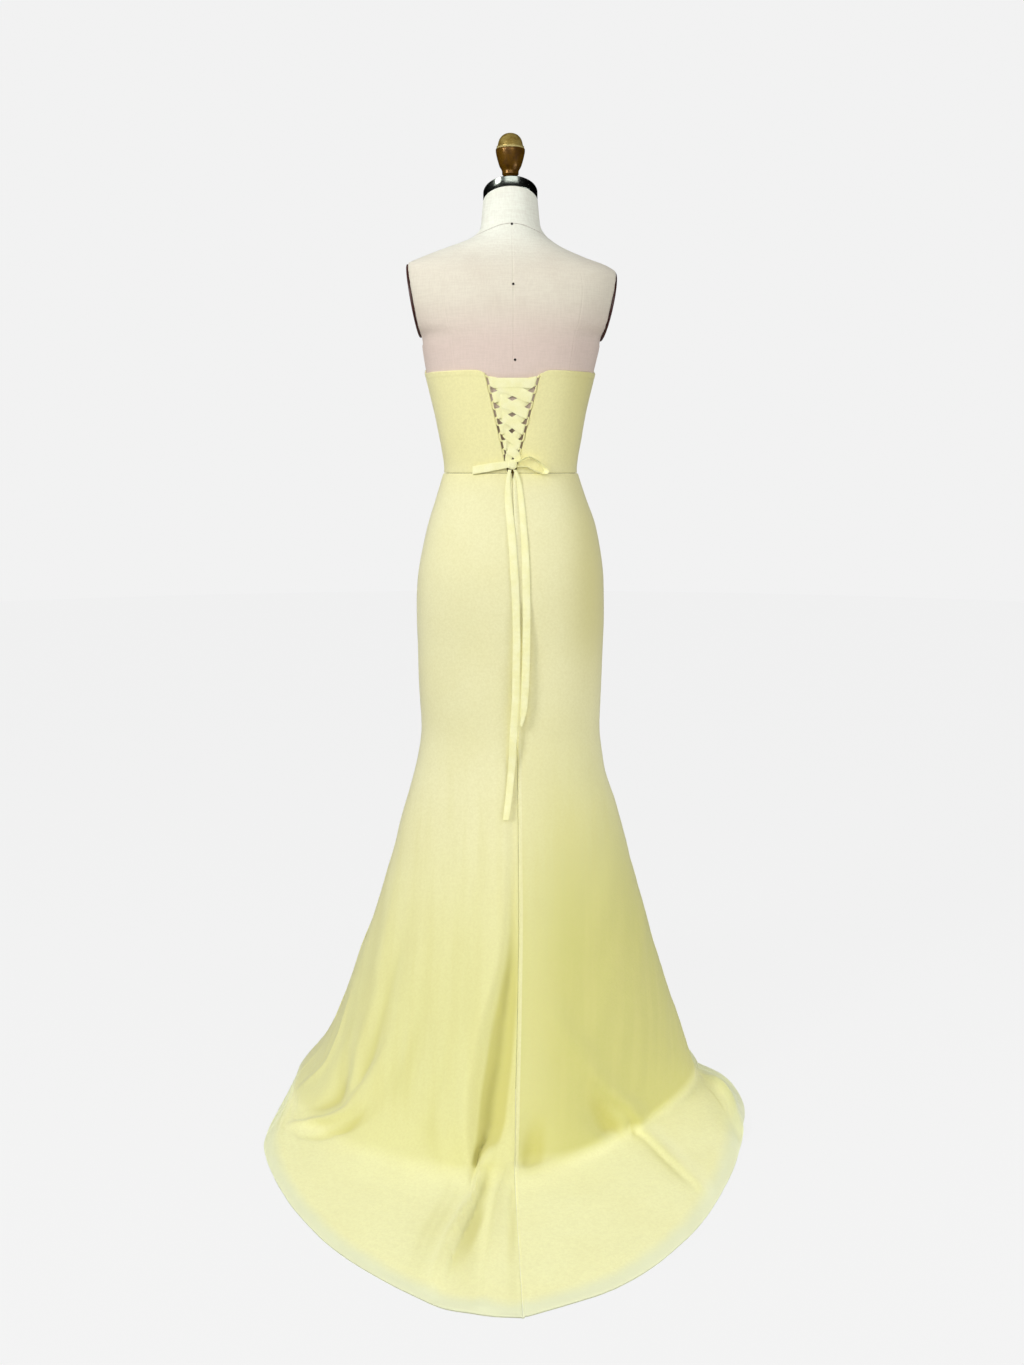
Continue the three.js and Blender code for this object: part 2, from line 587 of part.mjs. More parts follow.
function armPlate(plane) {
  const ring = (push, scale) => {
    const points = [];
    for (let i = 0; i < ARM_PLATE.sides; i += 1) {
      const a = (2 * Math.PI * i) / ARM_PLATE.sides;
      points.push(plane.middle.clone()
        .addScaledVector(plane.rise, Math.sin(a) * plane.halfHeight * scale)
        .addScaledVector(plane.depthways, Math.cos(a) * ARM_PLATE.halfDepth * scale)
        .addScaledVector(plane.facing, push));
    }
    return points;
  };
  return loft([ring(-ARM_PLATE.thick, 0.97), ring(-ARM_PLATE.thick + 1, 1), ring(-1, 1),
    ring(0, 0.97)]);
}

// ---------------------------------------------------------------- bodice
const TOP_X = column(TOP_EDGE, 0);
const TOP_Z = column(TOP_EDGE, 1);

function bodiceTop(across) {
  return smooth(TOP_X, TOP_Z, Math.abs(wrap(across)));
}

function gapAt(side, z) {
  const v = side < 0 ? V_LEFT : V_RIGHT;
  return v.bottom + ((z - V_BOTTOM_Z) * (v.top - v.bottom)) / (V_TOP_Z - V_BOTTOM_Z);
}

function bodicePanel(placesAt) {
  const outer = [];
  const inner = [];
  for (let r = 0; r <= BODICE_ROWS; r += 1) {
    const t = r / BODICE_ROWS;
    const guess = WAIST_Z + SEAM_GAP / 2;
    const rowPlaces = placesAt(guess + t * (bodiceTop(0.3) - guess));
    const outerRow = [];
    const innerRow = [];
    for (const across of rowPlaces) {
      const z = guess + t * (bodiceTop(across) - guess);
      innerRow.push(level(offForm(wrap(across), z, BODICE_GAP), z));
      outerRow.push(level(offForm(wrap(across), z, BODICE_GAP + BODICE_WALL), z));
    }
    outer.push(outerRow);
    inner.push(innerRow);
  }
  return closedWall(outer, inner);
}

function level(point, z) {
  point.z = z;
  return point;
}

function bodiceBack(side) {
  return bodicePanel((z) => {
    const ring = formRing(z);
    const length = (side < 0 ? ring.backLeft : ring.backRight).length;
    const inside = gapAt(side, z) / length;
    const outside = 1 - SEAM_GAP / 2 / length;
    const places = [];
    for (let i = 0; i <= BODICE_BACK_COLUMNS; i += 1) {
      places.push(side * (inside + ((outside - inside) * i) / BODICE_BACK_COLUMNS));
    }
    return side < 0 ? places.reverse() : places;
  });
}

function bodiceFront() {
  return bodicePanel((z) => {
    const length = formRing(z).frontRight.length;
    const edge = 1 + SEAM_GAP / 2 / length;
    const places = [];
    for (let i = 0; i <= BODICE_FRONT_COLUMNS; i += 1) {
      places.push(edge + ((4 - 2 * edge) * i) / BODICE_FRONT_COLUMNS);
    }
    return places;
  });
}

// ---------------------------------------------------------------- lacing
function loopZ(k) {
  return LOOP.top - k * LOOP.pitch;
}

// One cord down the V's edge that goes out and back for each loop.
function loopCord(side) {
  const flat = [];
  const foot = (z) => side * (gapAt(side, z) - LOOP_FOOT);
  const tip = (z) => side * (gapAt(side, z) - LOOP.reach);
  flat.push([foot(loopZ(0) + 10.5), loopZ(0) + 10.5]);
  for (let k = 0; k < LOOP.count; k += 1) {
    const z = loopZ(k);
    const half = LOOP.half;
    flat.push([foot(z + half + 1.6), z + half + 1.6]);
    flat.push([(foot(z) + tip(z)) / 2, z + half]);
    flat.push([tip(z + half - 2.2), z + half - 2.2]);
    flat.push([tip(z), z]);
    flat.push([tip(z - half + 2.2), z - half + 2.2]);
    flat.push([(foot(z) + tip(z)) / 2, z - half]);
    flat.push([foot(z - half - 1.6), z - half - 1.6]);
  }
  const end = loopZ(LOOP.count - 1) - 15;
  flat.push([foot(end), end]);
  return tube(flat.map(([x, z]) => onBack(x, z, LOOP.depth)), LOOP.radius, 6);
}

// The lace's turn through a loop, from the front of it to behind.
function laceTurn(side, k) {
  const z = loopZ(k);
  const rod = side * (gapAt(side, z) - LOOP.reach);
  const radius = LOOP.radius + LACE.clear + LACE.thick / 2;
  const rows = [];
  for (let i = 0; i <= 4; i += 1) {
    const a = Math.PI / 2 - (Math.PI * i) / 4;
    rows.push([rod + side * radius * Math.cos(a), z, LOOP.depth + radius * Math.sin(a),
      LACE.pinched, side * vSlope(side)]);
  }
  return rows;
}

// A crossing run from behind one loop to the front of the next one opposite.
const RUN_SHAPE = [
  // part of the way, depth: 0 behind, 1 crossing, 2 front; and half-width: 0 pinched, 1 full
  [0.07, 0, 0.1], [0.17, 0.75, 0.7], [0.3, 1, 1], [0.5, 1, 1], [0.7, 1, 1], [0.83, 1.3, 0.7],
  [0.93, 2, 0.1],
];

// How far the V's edge leans out for each mm of height.
function vSlope(side) {
  return gapAt(side, 1) - gapAt(side, 0);
}

function laceRun(from, to, crossing) {
  const depths = [LACE.behind, crossing, LACE_FRONT];
  return RUN_SHAPE.map(([t, d, full]) => {
    const low = Math.min(Math.floor(d), 1);
    const depth = depths[low] + (d - low) * (depths[low + 1] - depths[low]);
    const half = LACE.pinched + full * (LACE.half - LACE.pinched);
    return [from[0] + t * (to[0] - from[0]), from[1] + t * (to[1] - from[1]), depth, half];
  });
}

function laceStrand(start) {
  const crossing = start < 0 ? LACE.over : LACE.under;
  let rows = [];
  let side = start;
  for (let k = 0; k < LOOP.count; k += 1) {
    const turn = laceTurn(side, k);
    rows = rows.concat(turn);
    if (k === LOOP.count - 1) break;
    const next = laceTurn(-side, k + 1);
    const goingRight = side < 0;
    rows = rows.concat(laceRun(turn[4], next[0], goingRight ? LACE.over : LACE.under));
    side = -side;
  }
  const last = rows[rows.length - 1];
  const out = side < 0 ? LACE.over : LACE.under;
  const endX = -side * 4.5;
  const endZ = KNOT.z + KNOT.halfHeight + 4.7;
  rows.push([last[0] + 0.2 * (endX - last[0]), last[1] - 1.5, 0.8 * last[2] + 0.2 * out, 4.6]);
  rows.push([last[0] + 0.5 * (endX - last[0]), last[1] - 6.5, out, 5.6]);
  rows.push([endX, endZ, out, 3.8]);
  return rows;
}

function lace() {
  const left = laceStrand(-1);
  const right = laceStrand(1);
  const leftX = left[0][0];
  const rightX = right[0][0];
  const top = [0.07, 0.2, 0.4, 0.6, 0.8, 0.93].map((t) => {
    const half = t < 0.1 || t > 0.9 ? 5.4 : LACE.half;
    return [leftX + t * (rightX - leftX), TOP_RUN_Z, LACE_FRONT, half];
  });
  const rows = [...left.reverse(), ...top, ...right];
  return strip(rows.map(([x, z, depth, half, lean = 0]) => [
    onBack(x + lean * half, z + half, depth), onBack(x - lean * half, z - half, depth),
  ]), LACE.thick);
}

// ---------------------------------------------------------------- bow
function bowKnot() {
  const rings = [];
  const steps = 6;
  const sides = 16;
  for (let i = 0; i <= steps; i += 1) {
    const a = (Math.PI * (i + 0.35)) / (steps + 0.7);
    const depth = (KNOT.from + KNOT.to) / 2 - (Math.cos(a) * (KNOT.to - KNOT.from)) / 2;
    const size = Math.sin(a) ** 0.6;
    const ring = [];
    for (let j = 0; j < sides; j += 1) {
      const b = (2 * Math.PI * j) / sides;
      const x = KNOT.x + Math.sign(Math.cos(b)) * Math.abs(Math.cos(b)) ** 0.8
        * KNOT.halfWidth * size;
      const z = KNOT.z + Math.sign(Math.sin(b)) * Math.abs(Math.sin(b)) ** 0.8
        * KNOT.halfHeight * size;
      ring.push(onBack(x, z, depth));
    }
    rings.push(ring);
  }
  return loft(rings);
}

function bowLeft() {
  const b = BOW_LEFT;
  const rows = [];
  const steps = 5;
  const run = (t, depth) => [b.nearX + t * (b.farX - b.nearX), b.nearZ + t * (b.farZ - b.nearZ),
    depth, b.nearHalf + Math.min(1, t * 1.6) * (b.farHalf - b.nearHalf)];
  for (let i = 0; i <= steps; i += 1) rows.push(run(i / steps, b.back));
  const radius = (b.front - b.back) / 2;
  for (let i = 1; i <= 3; i += 1) {
    const a = -Math.PI / 2 + (Math.PI * i) / 4;
    rows.push([b.farX - radius * Math.cos(a), b.farZ, (b.front + b.back) / 2
      + radius * Math.sin(a), b.farHalf]);
  }
  for (let i = steps; i >= 0; i -= 1) rows.push(run(i / steps, b.front));
  return strip(rows.map(([x, z, depth, half]) => [
    onBack(x, z + half, depth), onBack(x, z - half, depth),
  ]), BOW_THICK);
}

function bowRight() {
  const middle = [30, 1036];
  const index = BOW_RIGHT.map((p, i) => i);
  const rows = [];
  const steps = 2 * (BOW_RIGHT.length - 1);
  for (let i = 0; i <= steps; i += 1) {
    const t = i / 2;
    const x = smooth(index, column(BOW_RIGHT, 0), t);
    const z = smooth(index, column(BOW_RIGHT, 1), t);
    const innerX = Math.max(middle[0] + BOW_RIGHT_INNER * (x - middle[0]), BOW_RIGHT[0][0]);
    const innerZ = middle[1] + BOW_RIGHT_INNER * (z - middle[1]);
    rows.push([onBack(innerX, innerZ, BOW_RIGHT_BACK), onBack(x, z, BOW_RIGHT_FRONT)]);
  }
  return strip(rows, BOW_THICK);
}

// ---------------------------------------------------------------- tails
// The skirt's outside at the back, by x and height.
function backY(x, z) {
  const down = Math.min(z - SKIRT_WALL, 1024);
  let across = x / skirtBase(0.001, down).length;
  let point = skirtSurface(across, down);
  for (let i = 0; i < 4; i += 1) {
    across += (x - point.x) / skirtBase(0.001, down).length;
    point = skirtSurface(across, down);
  }
  return point.y;
}

function tail(table) {
  const rows = [];
  let hanging = 0;
  const upward = [...table].reverse();
  const at = reader(upward, ['x', 'width', 'off']);
  const steps = Math.round((table[0][0] - upward[0][0]) / TAIL_STEP);
  for (let i = 0; i <= steps; i += 1) {
    const z = table[0][0] + (i / steps) * (upward[0][0] - table[0][0]);
    const { x, width, off } = at(z);
    const reach = [-0.5, -0.25, 0, 0.25, 0.5].map((k) => backY(x + k * width, z));
    hanging = Math.min(hanging, ...reach.map((y) => y - off));
    rows.push([new THREE.Vector3(x - width / 2, hanging, z),
      new THREE.Vector3(x + width / 2, hanging, z)]);
  }
  return strip(rows, TAIL_THICK);
}

// ---------------------------------------------------------------- solids
function solid(points, faces) {
  let volume = 0;
  for (const [a, b, c] of faces) {
    volume += points[a].dot(new THREE.Vector3().crossVectors(points[b], points[c]));
  }
  const turned = volume < 0 ? faces.map(([a, b, c]) => [a, c, b]) : faces;
  const geometry = new THREE.BufferGeometry();
  const flat = points.flatMap((p) => [p.x, p.y, p.z]);
  geometry.setAttribute('position', new THREE.Float32BufferAttribute(flat, 3));
  geometry.setIndex(turned.flat());
  return geometry;
}

// Two like grids of points, closed round their four edges.
function closedWall(outer, inner) {
  const rows = outer.length;
  const width = outer[0].length;
  const points = [...outer.flat(), ...inner.flat()];
  const out = (r, c) => r * width + c;
  const back = (r, c) => rows * width + r * width + c;
  const faces = [];
  const quad = (a, b, c, d) => {
    faces.push([a, b, c], [a, c, d]);
  };
  for (let r = 0; r < rows - 1; r += 1) {
    for (let c = 0; c < width - 1; c += 1) {
      quad(out(r, c), out(r, c + 1), out(r + 1, c + 1), out(r + 1, c));
      quad(back(r, c), back(r + 1, c), back(r + 1, c + 1), back(r, c + 1));
    }
    quad(out(r, 0), out(r + 1, 0), back(r + 1, 0), back(r, 0));
    quad(out(r, width - 1), back(r, width - 1), back(r + 1, width - 1), out(r + 1, width - 1));
  }
  for (let c = 0; c < width - 1; c += 1) {
    quad(out(0, c), back(0, c), back(0, c + 1), out(0, c + 1));
    quad(out(rows - 1, c), out(rows - 1, c + 1), back(rows - 1, c + 1), back(rows - 1, c));
  }
  return solid(points, faces);
}

// A stack of like rings with flat ends.
function loft(rings) {
  const width = rings[0].length;
  const points = rings.flat();
  const faces = [];
  for (let r = 0; r < rings.length - 1; r += 1) {
    for (let c = 0; c < width; c += 1) {
      const d = (c + 1) % width;
      const a = r * width;
      faces.push([a + c, a + d, a + width + d], [a + c, a + width + d, a + width + c]);
    }
  }
  const end = (r, flip) => {
    const middle = new THREE.Vector3();
    rings[r].forEach((p) => middle.add(p));
    points.push(middle.divideScalar(width));
    const m = points.length - 1;
    for (let c = 0; c < width; c += 1) {
      const d = (c + 1) % width;
      faces.push(flip ? [m, r * width + d, r * width + c] : [m, r * width + c, r * width + d]);
    }
  };
  end(0, true);
  end(rings.length - 1, false);
  return solid(points, faces);
}

// A turned piece on an upright axis.
function turned(profile, sides) {
  const outline = profile.map(([radius, z]) => new THREE.Vector2(radius, z));
  const geometry = new THREE.LatheGeometry(outline, sides);
  return geometry.rotateX(Math.PI / 2);
}

function tube(path, radius, sides) {
  const rings = path.map((point, i) => {
    const before = path[Math.max(i - 1, 0)];
    const after = path[Math.min(i + 1, path.length - 1)];
    const way = after.clone().sub(before).normalize();
    const outward = new THREE.Vector3(0, -1, 0);
    const b = new THREE.Vector3().crossVectors(way, outward).normalize();
    const n = new THREE.Vector3().crossVectors(b, way);
    const ring = [];
    for (let k = 0; k < sides; k += 1) {
      const a = (2 * Math.PI * k) / sides;
      ring.push(point.clone().addScaledVector(n, Math.cos(a) * radius)
        .addScaledVector(b, Math.sin(a) * radius));
    }
    return ring;
  });
  return loft(rings);
}

// A flat ribbon from pairs of edge points.
function strip(pairs, thick) {
  const rings = pairs.map(([a, b], i) => {
    const before = pairs[Math.max(i - 1, 0)];
    const after = pairs[Math.min(i + 1, pairs.length - 1)];
    const way = after[0].clone().add(after[1]).sub(before[0]).sub(before[1]);
    const up = new THREE.Vector3().crossVectors(way, b.clone().sub(a)).normalize();
    const half = up.multiplyScalar(thick / 2);
    return [a.clone().add(half), b.clone().add(half), b.clone().sub(half), a.clone().sub(half)];
  });
  return loftStrip(rings);
}

function loftStrip(rings) {
  const points = rings.flat();
  const faces = [];
  for (let r = 0; r < rings.length - 1; r += 1) {
    for (let c = 0; c < 4; c += 1) {
      const d = (c + 1) % 4;
      const a = r * 4;
      faces.push([a + c, a + d, a + 4 + d], [a + c, a + 4 + d, a + 4 + c]);
    }
  }
  const last = (rings.length - 1) * 4;
  faces.push([0, 2, 1], [0, 3, 2]);
  faces.push([last, last + 1, last + 2], [last, last + 2, last + 3]);
  return solid(points, faces);
}

// ---------------------------------------------------------------- the part
function finish(color, roughness, metalness = 0) {
  return new THREE.MeshStandardMaterial({ color, roughness, metalness });
}
const CREPE = finish('#f0e8a9', 0.8);
const RIBBON = finish('#f6f0b4', 0.65);
const LINEN = finish('#ece4d8', 0.85);
const PLATE = finish('#4a2320', 0.5);
const STEEL = finish('#c9cdc8', 0.2, 1);
const BRONZE = finish('#7a4f1c', 0.35, 1);
const IRON = finish('#2b2b2b', 0.5, 0.6);

function piece(name, geometry, material) {
  const mesh = new THREE.Mesh(geometry, material);
  mesh.name = name;
  return mesh;
}

function dressForm() {
  const form = new THREE.Group();
  const poleHeight = FORM_BOTTOM_Z - BASE_TOP - 2 * SEAM_GAP;
  const pole = piece('pole', new THREE.CylinderGeometry(POLE.radius, POLE.radius, poleHeight,
    POLE.sides), STEEL);
  pole.rotation.x = Math.PI / 2;
  pole.position.z = BASE_TOP + SEAM_GAP + poleHeight / 2;
  const finial = piece('finial', turned(FINIAL, 18), BRONZE);
  finial.position.set(0, NECK_TOP.y, BAND.hubZ + SEAM_GAP);
  form.add(
    piece('form_torso', formTorso(), LINEN),
    piece('arm_plate_left', armPlate(ARM_PLANES[0]), PLATE),
    piece('arm_plate_right', armPlate(ARM_PLANES[1]), PLATE),
    piece('neck_band', neckBand(), STEEL),
    finial,
    pole,
    piece('base', turned(BASE, 32), IRON),
  );
  return form;
}

function bodice() {
  const group = new THREE.Group();
  group.add(
    piece('bodice_front', bodiceFront(), CREPE),
    piece('bodice_back_left', bodiceBack(-1), CREPE),
    piece('bodice_back_right', bodiceBack(1), CREPE),
    piece('loops_left', loopCord(-1), CREPE),
    piece('loops_right', loopCord(1), CREPE),
    piece('lace', lace(), RIBBON),
  );
  return group;
}

function bow() {
  const group = new THREE.Group();
  group.add(
    piece('bow_knot', bowKnot(), RIBBON),
    piece('bow_loop_left', bowLeft(), RIBBON),
    piece('bow_loop_right', bowRight(), RIBBON),
    piece('tail_left', tail(TAIL_LEFT), RIBBON),
    piece('tail_right', tail(TAIL_RIGHT), RIBBON),
  );
  return group;
}

function skirt() {
  const group = new THREE.Group();
  group.add(
    piece('skirt_front', skirtPanel(frontColumns()), CREPE),
    piece('skirt_back_left', skirtPanel(BACK_LEFT_COLUMNS), CREPE),
    piece('skirt_back_right', skirtPanel(BACK_RIGHT_COLUMNS), CREPE),
  );
  return group;
}

const dress = new THREE.Group();
dress.add(bodice(), bow(), skirt());
const part = new THREE.Group();
part.add(dressForm(), dress);

export default part;
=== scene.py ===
"""Looks of the mermaid dress on its dress form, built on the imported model's frame.

Tables are in millimetres, in the row frame: +X wearer's right, +Y front, +Z up.
"""

import math

import bpy
import numpy as np
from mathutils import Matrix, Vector


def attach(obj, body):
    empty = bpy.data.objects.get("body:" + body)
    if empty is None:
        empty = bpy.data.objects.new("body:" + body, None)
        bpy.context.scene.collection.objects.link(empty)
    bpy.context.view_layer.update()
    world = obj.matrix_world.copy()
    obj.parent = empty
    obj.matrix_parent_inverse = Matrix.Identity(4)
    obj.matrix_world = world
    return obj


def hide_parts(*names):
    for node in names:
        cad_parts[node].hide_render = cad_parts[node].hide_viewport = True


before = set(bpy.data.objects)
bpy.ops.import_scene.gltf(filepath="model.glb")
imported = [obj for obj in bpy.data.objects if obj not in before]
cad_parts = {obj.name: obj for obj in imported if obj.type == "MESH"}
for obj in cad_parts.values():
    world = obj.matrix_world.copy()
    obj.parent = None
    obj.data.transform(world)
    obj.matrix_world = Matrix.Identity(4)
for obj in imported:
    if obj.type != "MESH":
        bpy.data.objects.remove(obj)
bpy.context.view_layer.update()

MM = 0.001
SKIRT_WALL = 2.0
FLOOR_BEND = 18.0
FRONT_HEM_Y = 262.0
WAIST_Z = 1027.0
SEAM_HALF = 0.15  # half the slit between two sewn edges
SLIT_OPENS, SLIT_OPENS_FROM, SLIT_OPENS_OVER = 1.1, 1016, 5  # at centre back, up to the waist
BODICE_INSIDE = 1.3
BODICE_OUTSIDE = 3.4
V_BOTTOM_Z, V_TOP_Z = 1037.0, 1183.0
V_HALF_GAP = {-1: (10.5, 43.5), 1: (6.5, 42.0)}
LOOP_COUNT, LOOP_TOP, LOOP_PITCH = 5, 1172.4, 25.1
LOOP_HALF, LOOP_REACH, LOOP_RADIUS, LOOP_DEPTH, LOOP_FOOT = 6.2, 5.5, 1.35, 3.6, 0.9
LACE_HALF, LACE_LOW_HALF, LACE_PINCHED, LACE_THICK, LACE_CLEAR = 9.1, 8.7, 8.0, 0.9, 0.35
LACE_BEHIND, LACE_OVER, LACE_UNDER = 1.25, 4.95, 3.05
LACE_FRONT = LOOP_DEPTH + LOOP_RADIUS + LACE_CLEAR + LACE_THICK / 2
TOP_RUN_Z, TOP_RUN_HALF = 1170.4, 7.8
KNOT_X, KNOT_Z, KNOT_HALF_WIDTH, KNOT_HALF_HEIGHT = -1.0, 1041.5, 7.8, 8.2
KNOT_FROM, KNOT_TO = 3.9, 11.5
BOW_LEFT_NEAR, BOW_LEFT_FAR = (-7.6, 1041.8, 5.4), (-62.0, 1031.3, 7.4)
BOW_LEFT_DEPTHS = (5.4, 8.5)
BOW_RIGHT_DEPTHS, BOW_RIGHT_INNER, BOW_RIGHT_MIDDLE = (5.2, 13.5), 0.80, (29.0, 1040.0)
TAIL_THICK, CRIMP_PITCH, STRAND_END_X = 0.9, 9.2, 6.4
ARM_THICK, ARM_HALF_DEPTH, ARM_TURN, ARM_CUT_FROM = 4.0, 42.0, 6.5, 1236
ARM_PLATES = {-1: ((-170.5, 1365.0), (-150.5, 1248.0)), 1: ((173.5, 1354.0), (151.0, 1243.0))}
NECK_TILT, NECK_TOP_Z, NECK_TOP_Y = 24.0, 1464.5, 3.0
BAND_RADIUS, BAND_DEPTH, BAND_HEIGHT, HUB_Z, HUB_RADIUS = 44.5, 45.5, 16.5, 1483.0, 15.0
FINIAL_Z = HUB_Z + 0.6
CAP_Z = (FINIAL_Z + 65.5) * MM
PINS = [(0.0, 1422.0), (0.0, 1323.0), (3.0, 1206.0)]

SKIRT = [
    # z, left, right, mid, back, front, squareLeft, squareRight, drift
    [0, 370, 312, -134, -458, 243, 2, 1.35, -14],
    [17, 360, 309, -130, -446, 239, 2, 1.4, -13],
    [55, 332, 298, -121, -415, 230, 2, 1.45, -11],
    [94, 309, 286, -111, -380, 219, 2, 1.55, -9],
    [133, 293, 273, -102, -348, 208, 2, 1.65, -6],
    [212, 263, 247, -84, -288, 188, 2, 1.8, -1],
    [291, 233, 226, -66, -235, 168, 2, 1.9, 3],
    [371, 208, 204, -48, -190, 150, 2, 2, 5],
    [451, 186, 184, -32, -155, 134, 2.1, 2.1, 6],
    [512, 168, 164, -22, -136, 124, 2.2, 2.2, 6],
    [552, 159, 157, -18, -128, 118, 2.2, 2.2, 6],
    [593, 154, 153, -14, -124, 114, 2.2, 2.2, 5],
    [656, 157, 155, -12, -123, 112, 2.3, 2.3, 4],
    [740, 159, 157.5, -12, -126, 110, 2.3, 2.3, 3],
    [781, 160, 158.5, -12, -130, 109, 2.3, 2.3, 2],
    [822, 159.5, 158, -12, -133, 108, 2.3, 2.3, 2],
    [863, 156, 156, -12, -132, 107, 2.3, 2.3, 1],
    [904, 148, 150, -12, -125, 105, 2.3, 2.3, 1],
    [945, 138, 141, -10, -113, 101, 2.3, 2.3, 0],
    [985, 125, 126, -8, -99, 95, 2.3, 2.3, 0],
    [1026, 112.5, 112.5, -5, -88, 88, 2.3, 2.3, 0],
]
FORM = [
    # z, left, right, mid, back, front, square
    [745, 152.5, 151, -12, -119, 104, 2.3],
    [781, 154, 152.5, -12, -123, 103, 2.3],
    [822, 153.5, 152, -12, -126, 102, 2.3],
    [863, 150, 150, -12, -125, 101, 2.3],
    [904, 142, 144, -12, -119, 99, 2.3],
    [945, 133, 136, -10, -108, 96, 2.3],
    [985, 120.2, 121.2, -8, -94.2, 90.2, 2.3],
    [1026, 108.9, 108.9, -5, -84.4, 84.4, 2.3],
    [1045, 109, 109, -4, -84.8, 86, 2.3],
    [1085, 115.8, 115.8, -3, -88, 93, 2.3],
    [1124, 123.5, 122.5, -2, -92, 103, 2.3],
    [1164, 133, 132, 0, -96, 112, 2.3],
    [1196, 140.5, 139.5, 0, -99, 113.8, 2.25],
    [1230, 146, 147.5, 0, -102, 110.5, 2.25],
    [1249, 148, 150.5, 0, -103.5, 105, 2.3],
    [1265, 160, 163, 0, -104, 98, 2.3],
    [1309, 175, 178, -2, -103, 80, 2.25],
    [1346, 178, 180, -6, -93, 62, 2.2],
    [1362, 174, 160, -8, -84, 50, 2.1],
    [1374, 150, 127, -8, -76, 44, 2],
    [1390, 108, 89, -6, -68, 41, 2],
    [1404, 70, 66, -4, -62, 42, 2],
    [1418, 52, 53, -2, -55, 45, 2],
    [1436, 47.5, 47.5, 1, -49, 48, 2],
    [1490, 44, 44, 5, -41, 50, 2],
]
# The hem on the floor: x and y, from centre back to the side.
HEM_RIGHT = [
    [-19, -789], [115, -725], [227, -607], [312, -451], [361, -304], [374, -221], [362, -138], [326, -84],
]
HEM_LEFT = [
    [-19, -789], [-74, -780], [-137, -753], [-254, -643], [-333, -522], [-388, -385], [-397, -300],
    [-378, -152],
]
# The bodice's top edge: place across from centre back, and height.
TOP_EDGE = [
    [0, 1187], [0.16, 1187.5], [0.32, 1190.5], [0.7, 1190], [1, 1192], [1.3, 1212], [1.65, 1240],
    [2, 1232],
]
# The open bow loop: x and height, round from the knot and back to it.
BOW_RIGHT = [
    [5.6, 1046], [19.5, 1053.2], [26.8, 1055], [38.4, 1048.6], [48.2, 1040.6], [54.4, 1032.6],
    [55.2, 1026.2], [50, 1022.8], [43.6, 1024.8], [32.2, 1031], [21.8, 1037.4], [5.6, 1038.8],
]
# Tails: height, middle, width, and how far off the skirt.
TAIL_LEFT = [
    [1032.6, -5.2, 5.6, 3.4], [1018, -7.6, 7, 1.9], [1003, -8.5, 8.8, 1.1], [984, -8.2, 11.3, 1.1],
    [937, -4.2, 12.3, 1.1], [889, -1.1, 12.4, 1.1], [825, 2.2, 12.4, 1.1], [760, 3.9, 12.4, 1.1],
    [719, 3.3, 12.4, 1.1], [666, 2.6, 12.4, 1.1], [632, 0.6, 12.2, 1.2], [595, -1.6, 12, 1.6],
    [551, -4, 11.6, 2.2], [512, -7.8, 11.2, 2.6], [485, -11.5, 10.6, 3], [465, -14.8, 9.6, 3.2],
]
TAIL_RIGHT = [
    [1032.6, 3, 5.6, 3.4], [1018, 8.6, 7, 1.9], [1003, 10.8, 8.2, 1.1], [984, 12.9, 9.2, 1.1],
    [937, 16.2, 10.4, 1.1], [889, 18.4, 11.8, 1.1], [825, 19.8, 12.4, 1.1], [760, 19.9, 12.4, 1.1],
    [714, 19, 12.4, 1.1], [666, 17.1, 12, 1.1], [640, 15.2, 10, 1.1], [617, 12, 4, 1.1],
]
# Radius, and height above FINIAL_Z.
FINIAL = [
    [0, 0], [12.5, 0], [12.5, 6.5], [9, 10.5], [9, 20.5], [13.5, 25.5], [14, 31.5], [17.5, 37.5],
    [20.5, 46.5], [22.6, 54.5], [23.8, 60.5], [23.8, 64.5], [22.4, 66.5], [22.4, 68.5], [20.6, 70.5],
    [19.6, 75.5], [17, 81.5], [12, 86.5], [6, 89.1], [0, 89.7],
]
# The form's seam at the neck: place across either way, and height.
NECK_SEAM = [
    [0, 1424], [0.25, 1421], [0.5, 1415], [1, 1404], [1.5, 1401], [2, 1400],
]
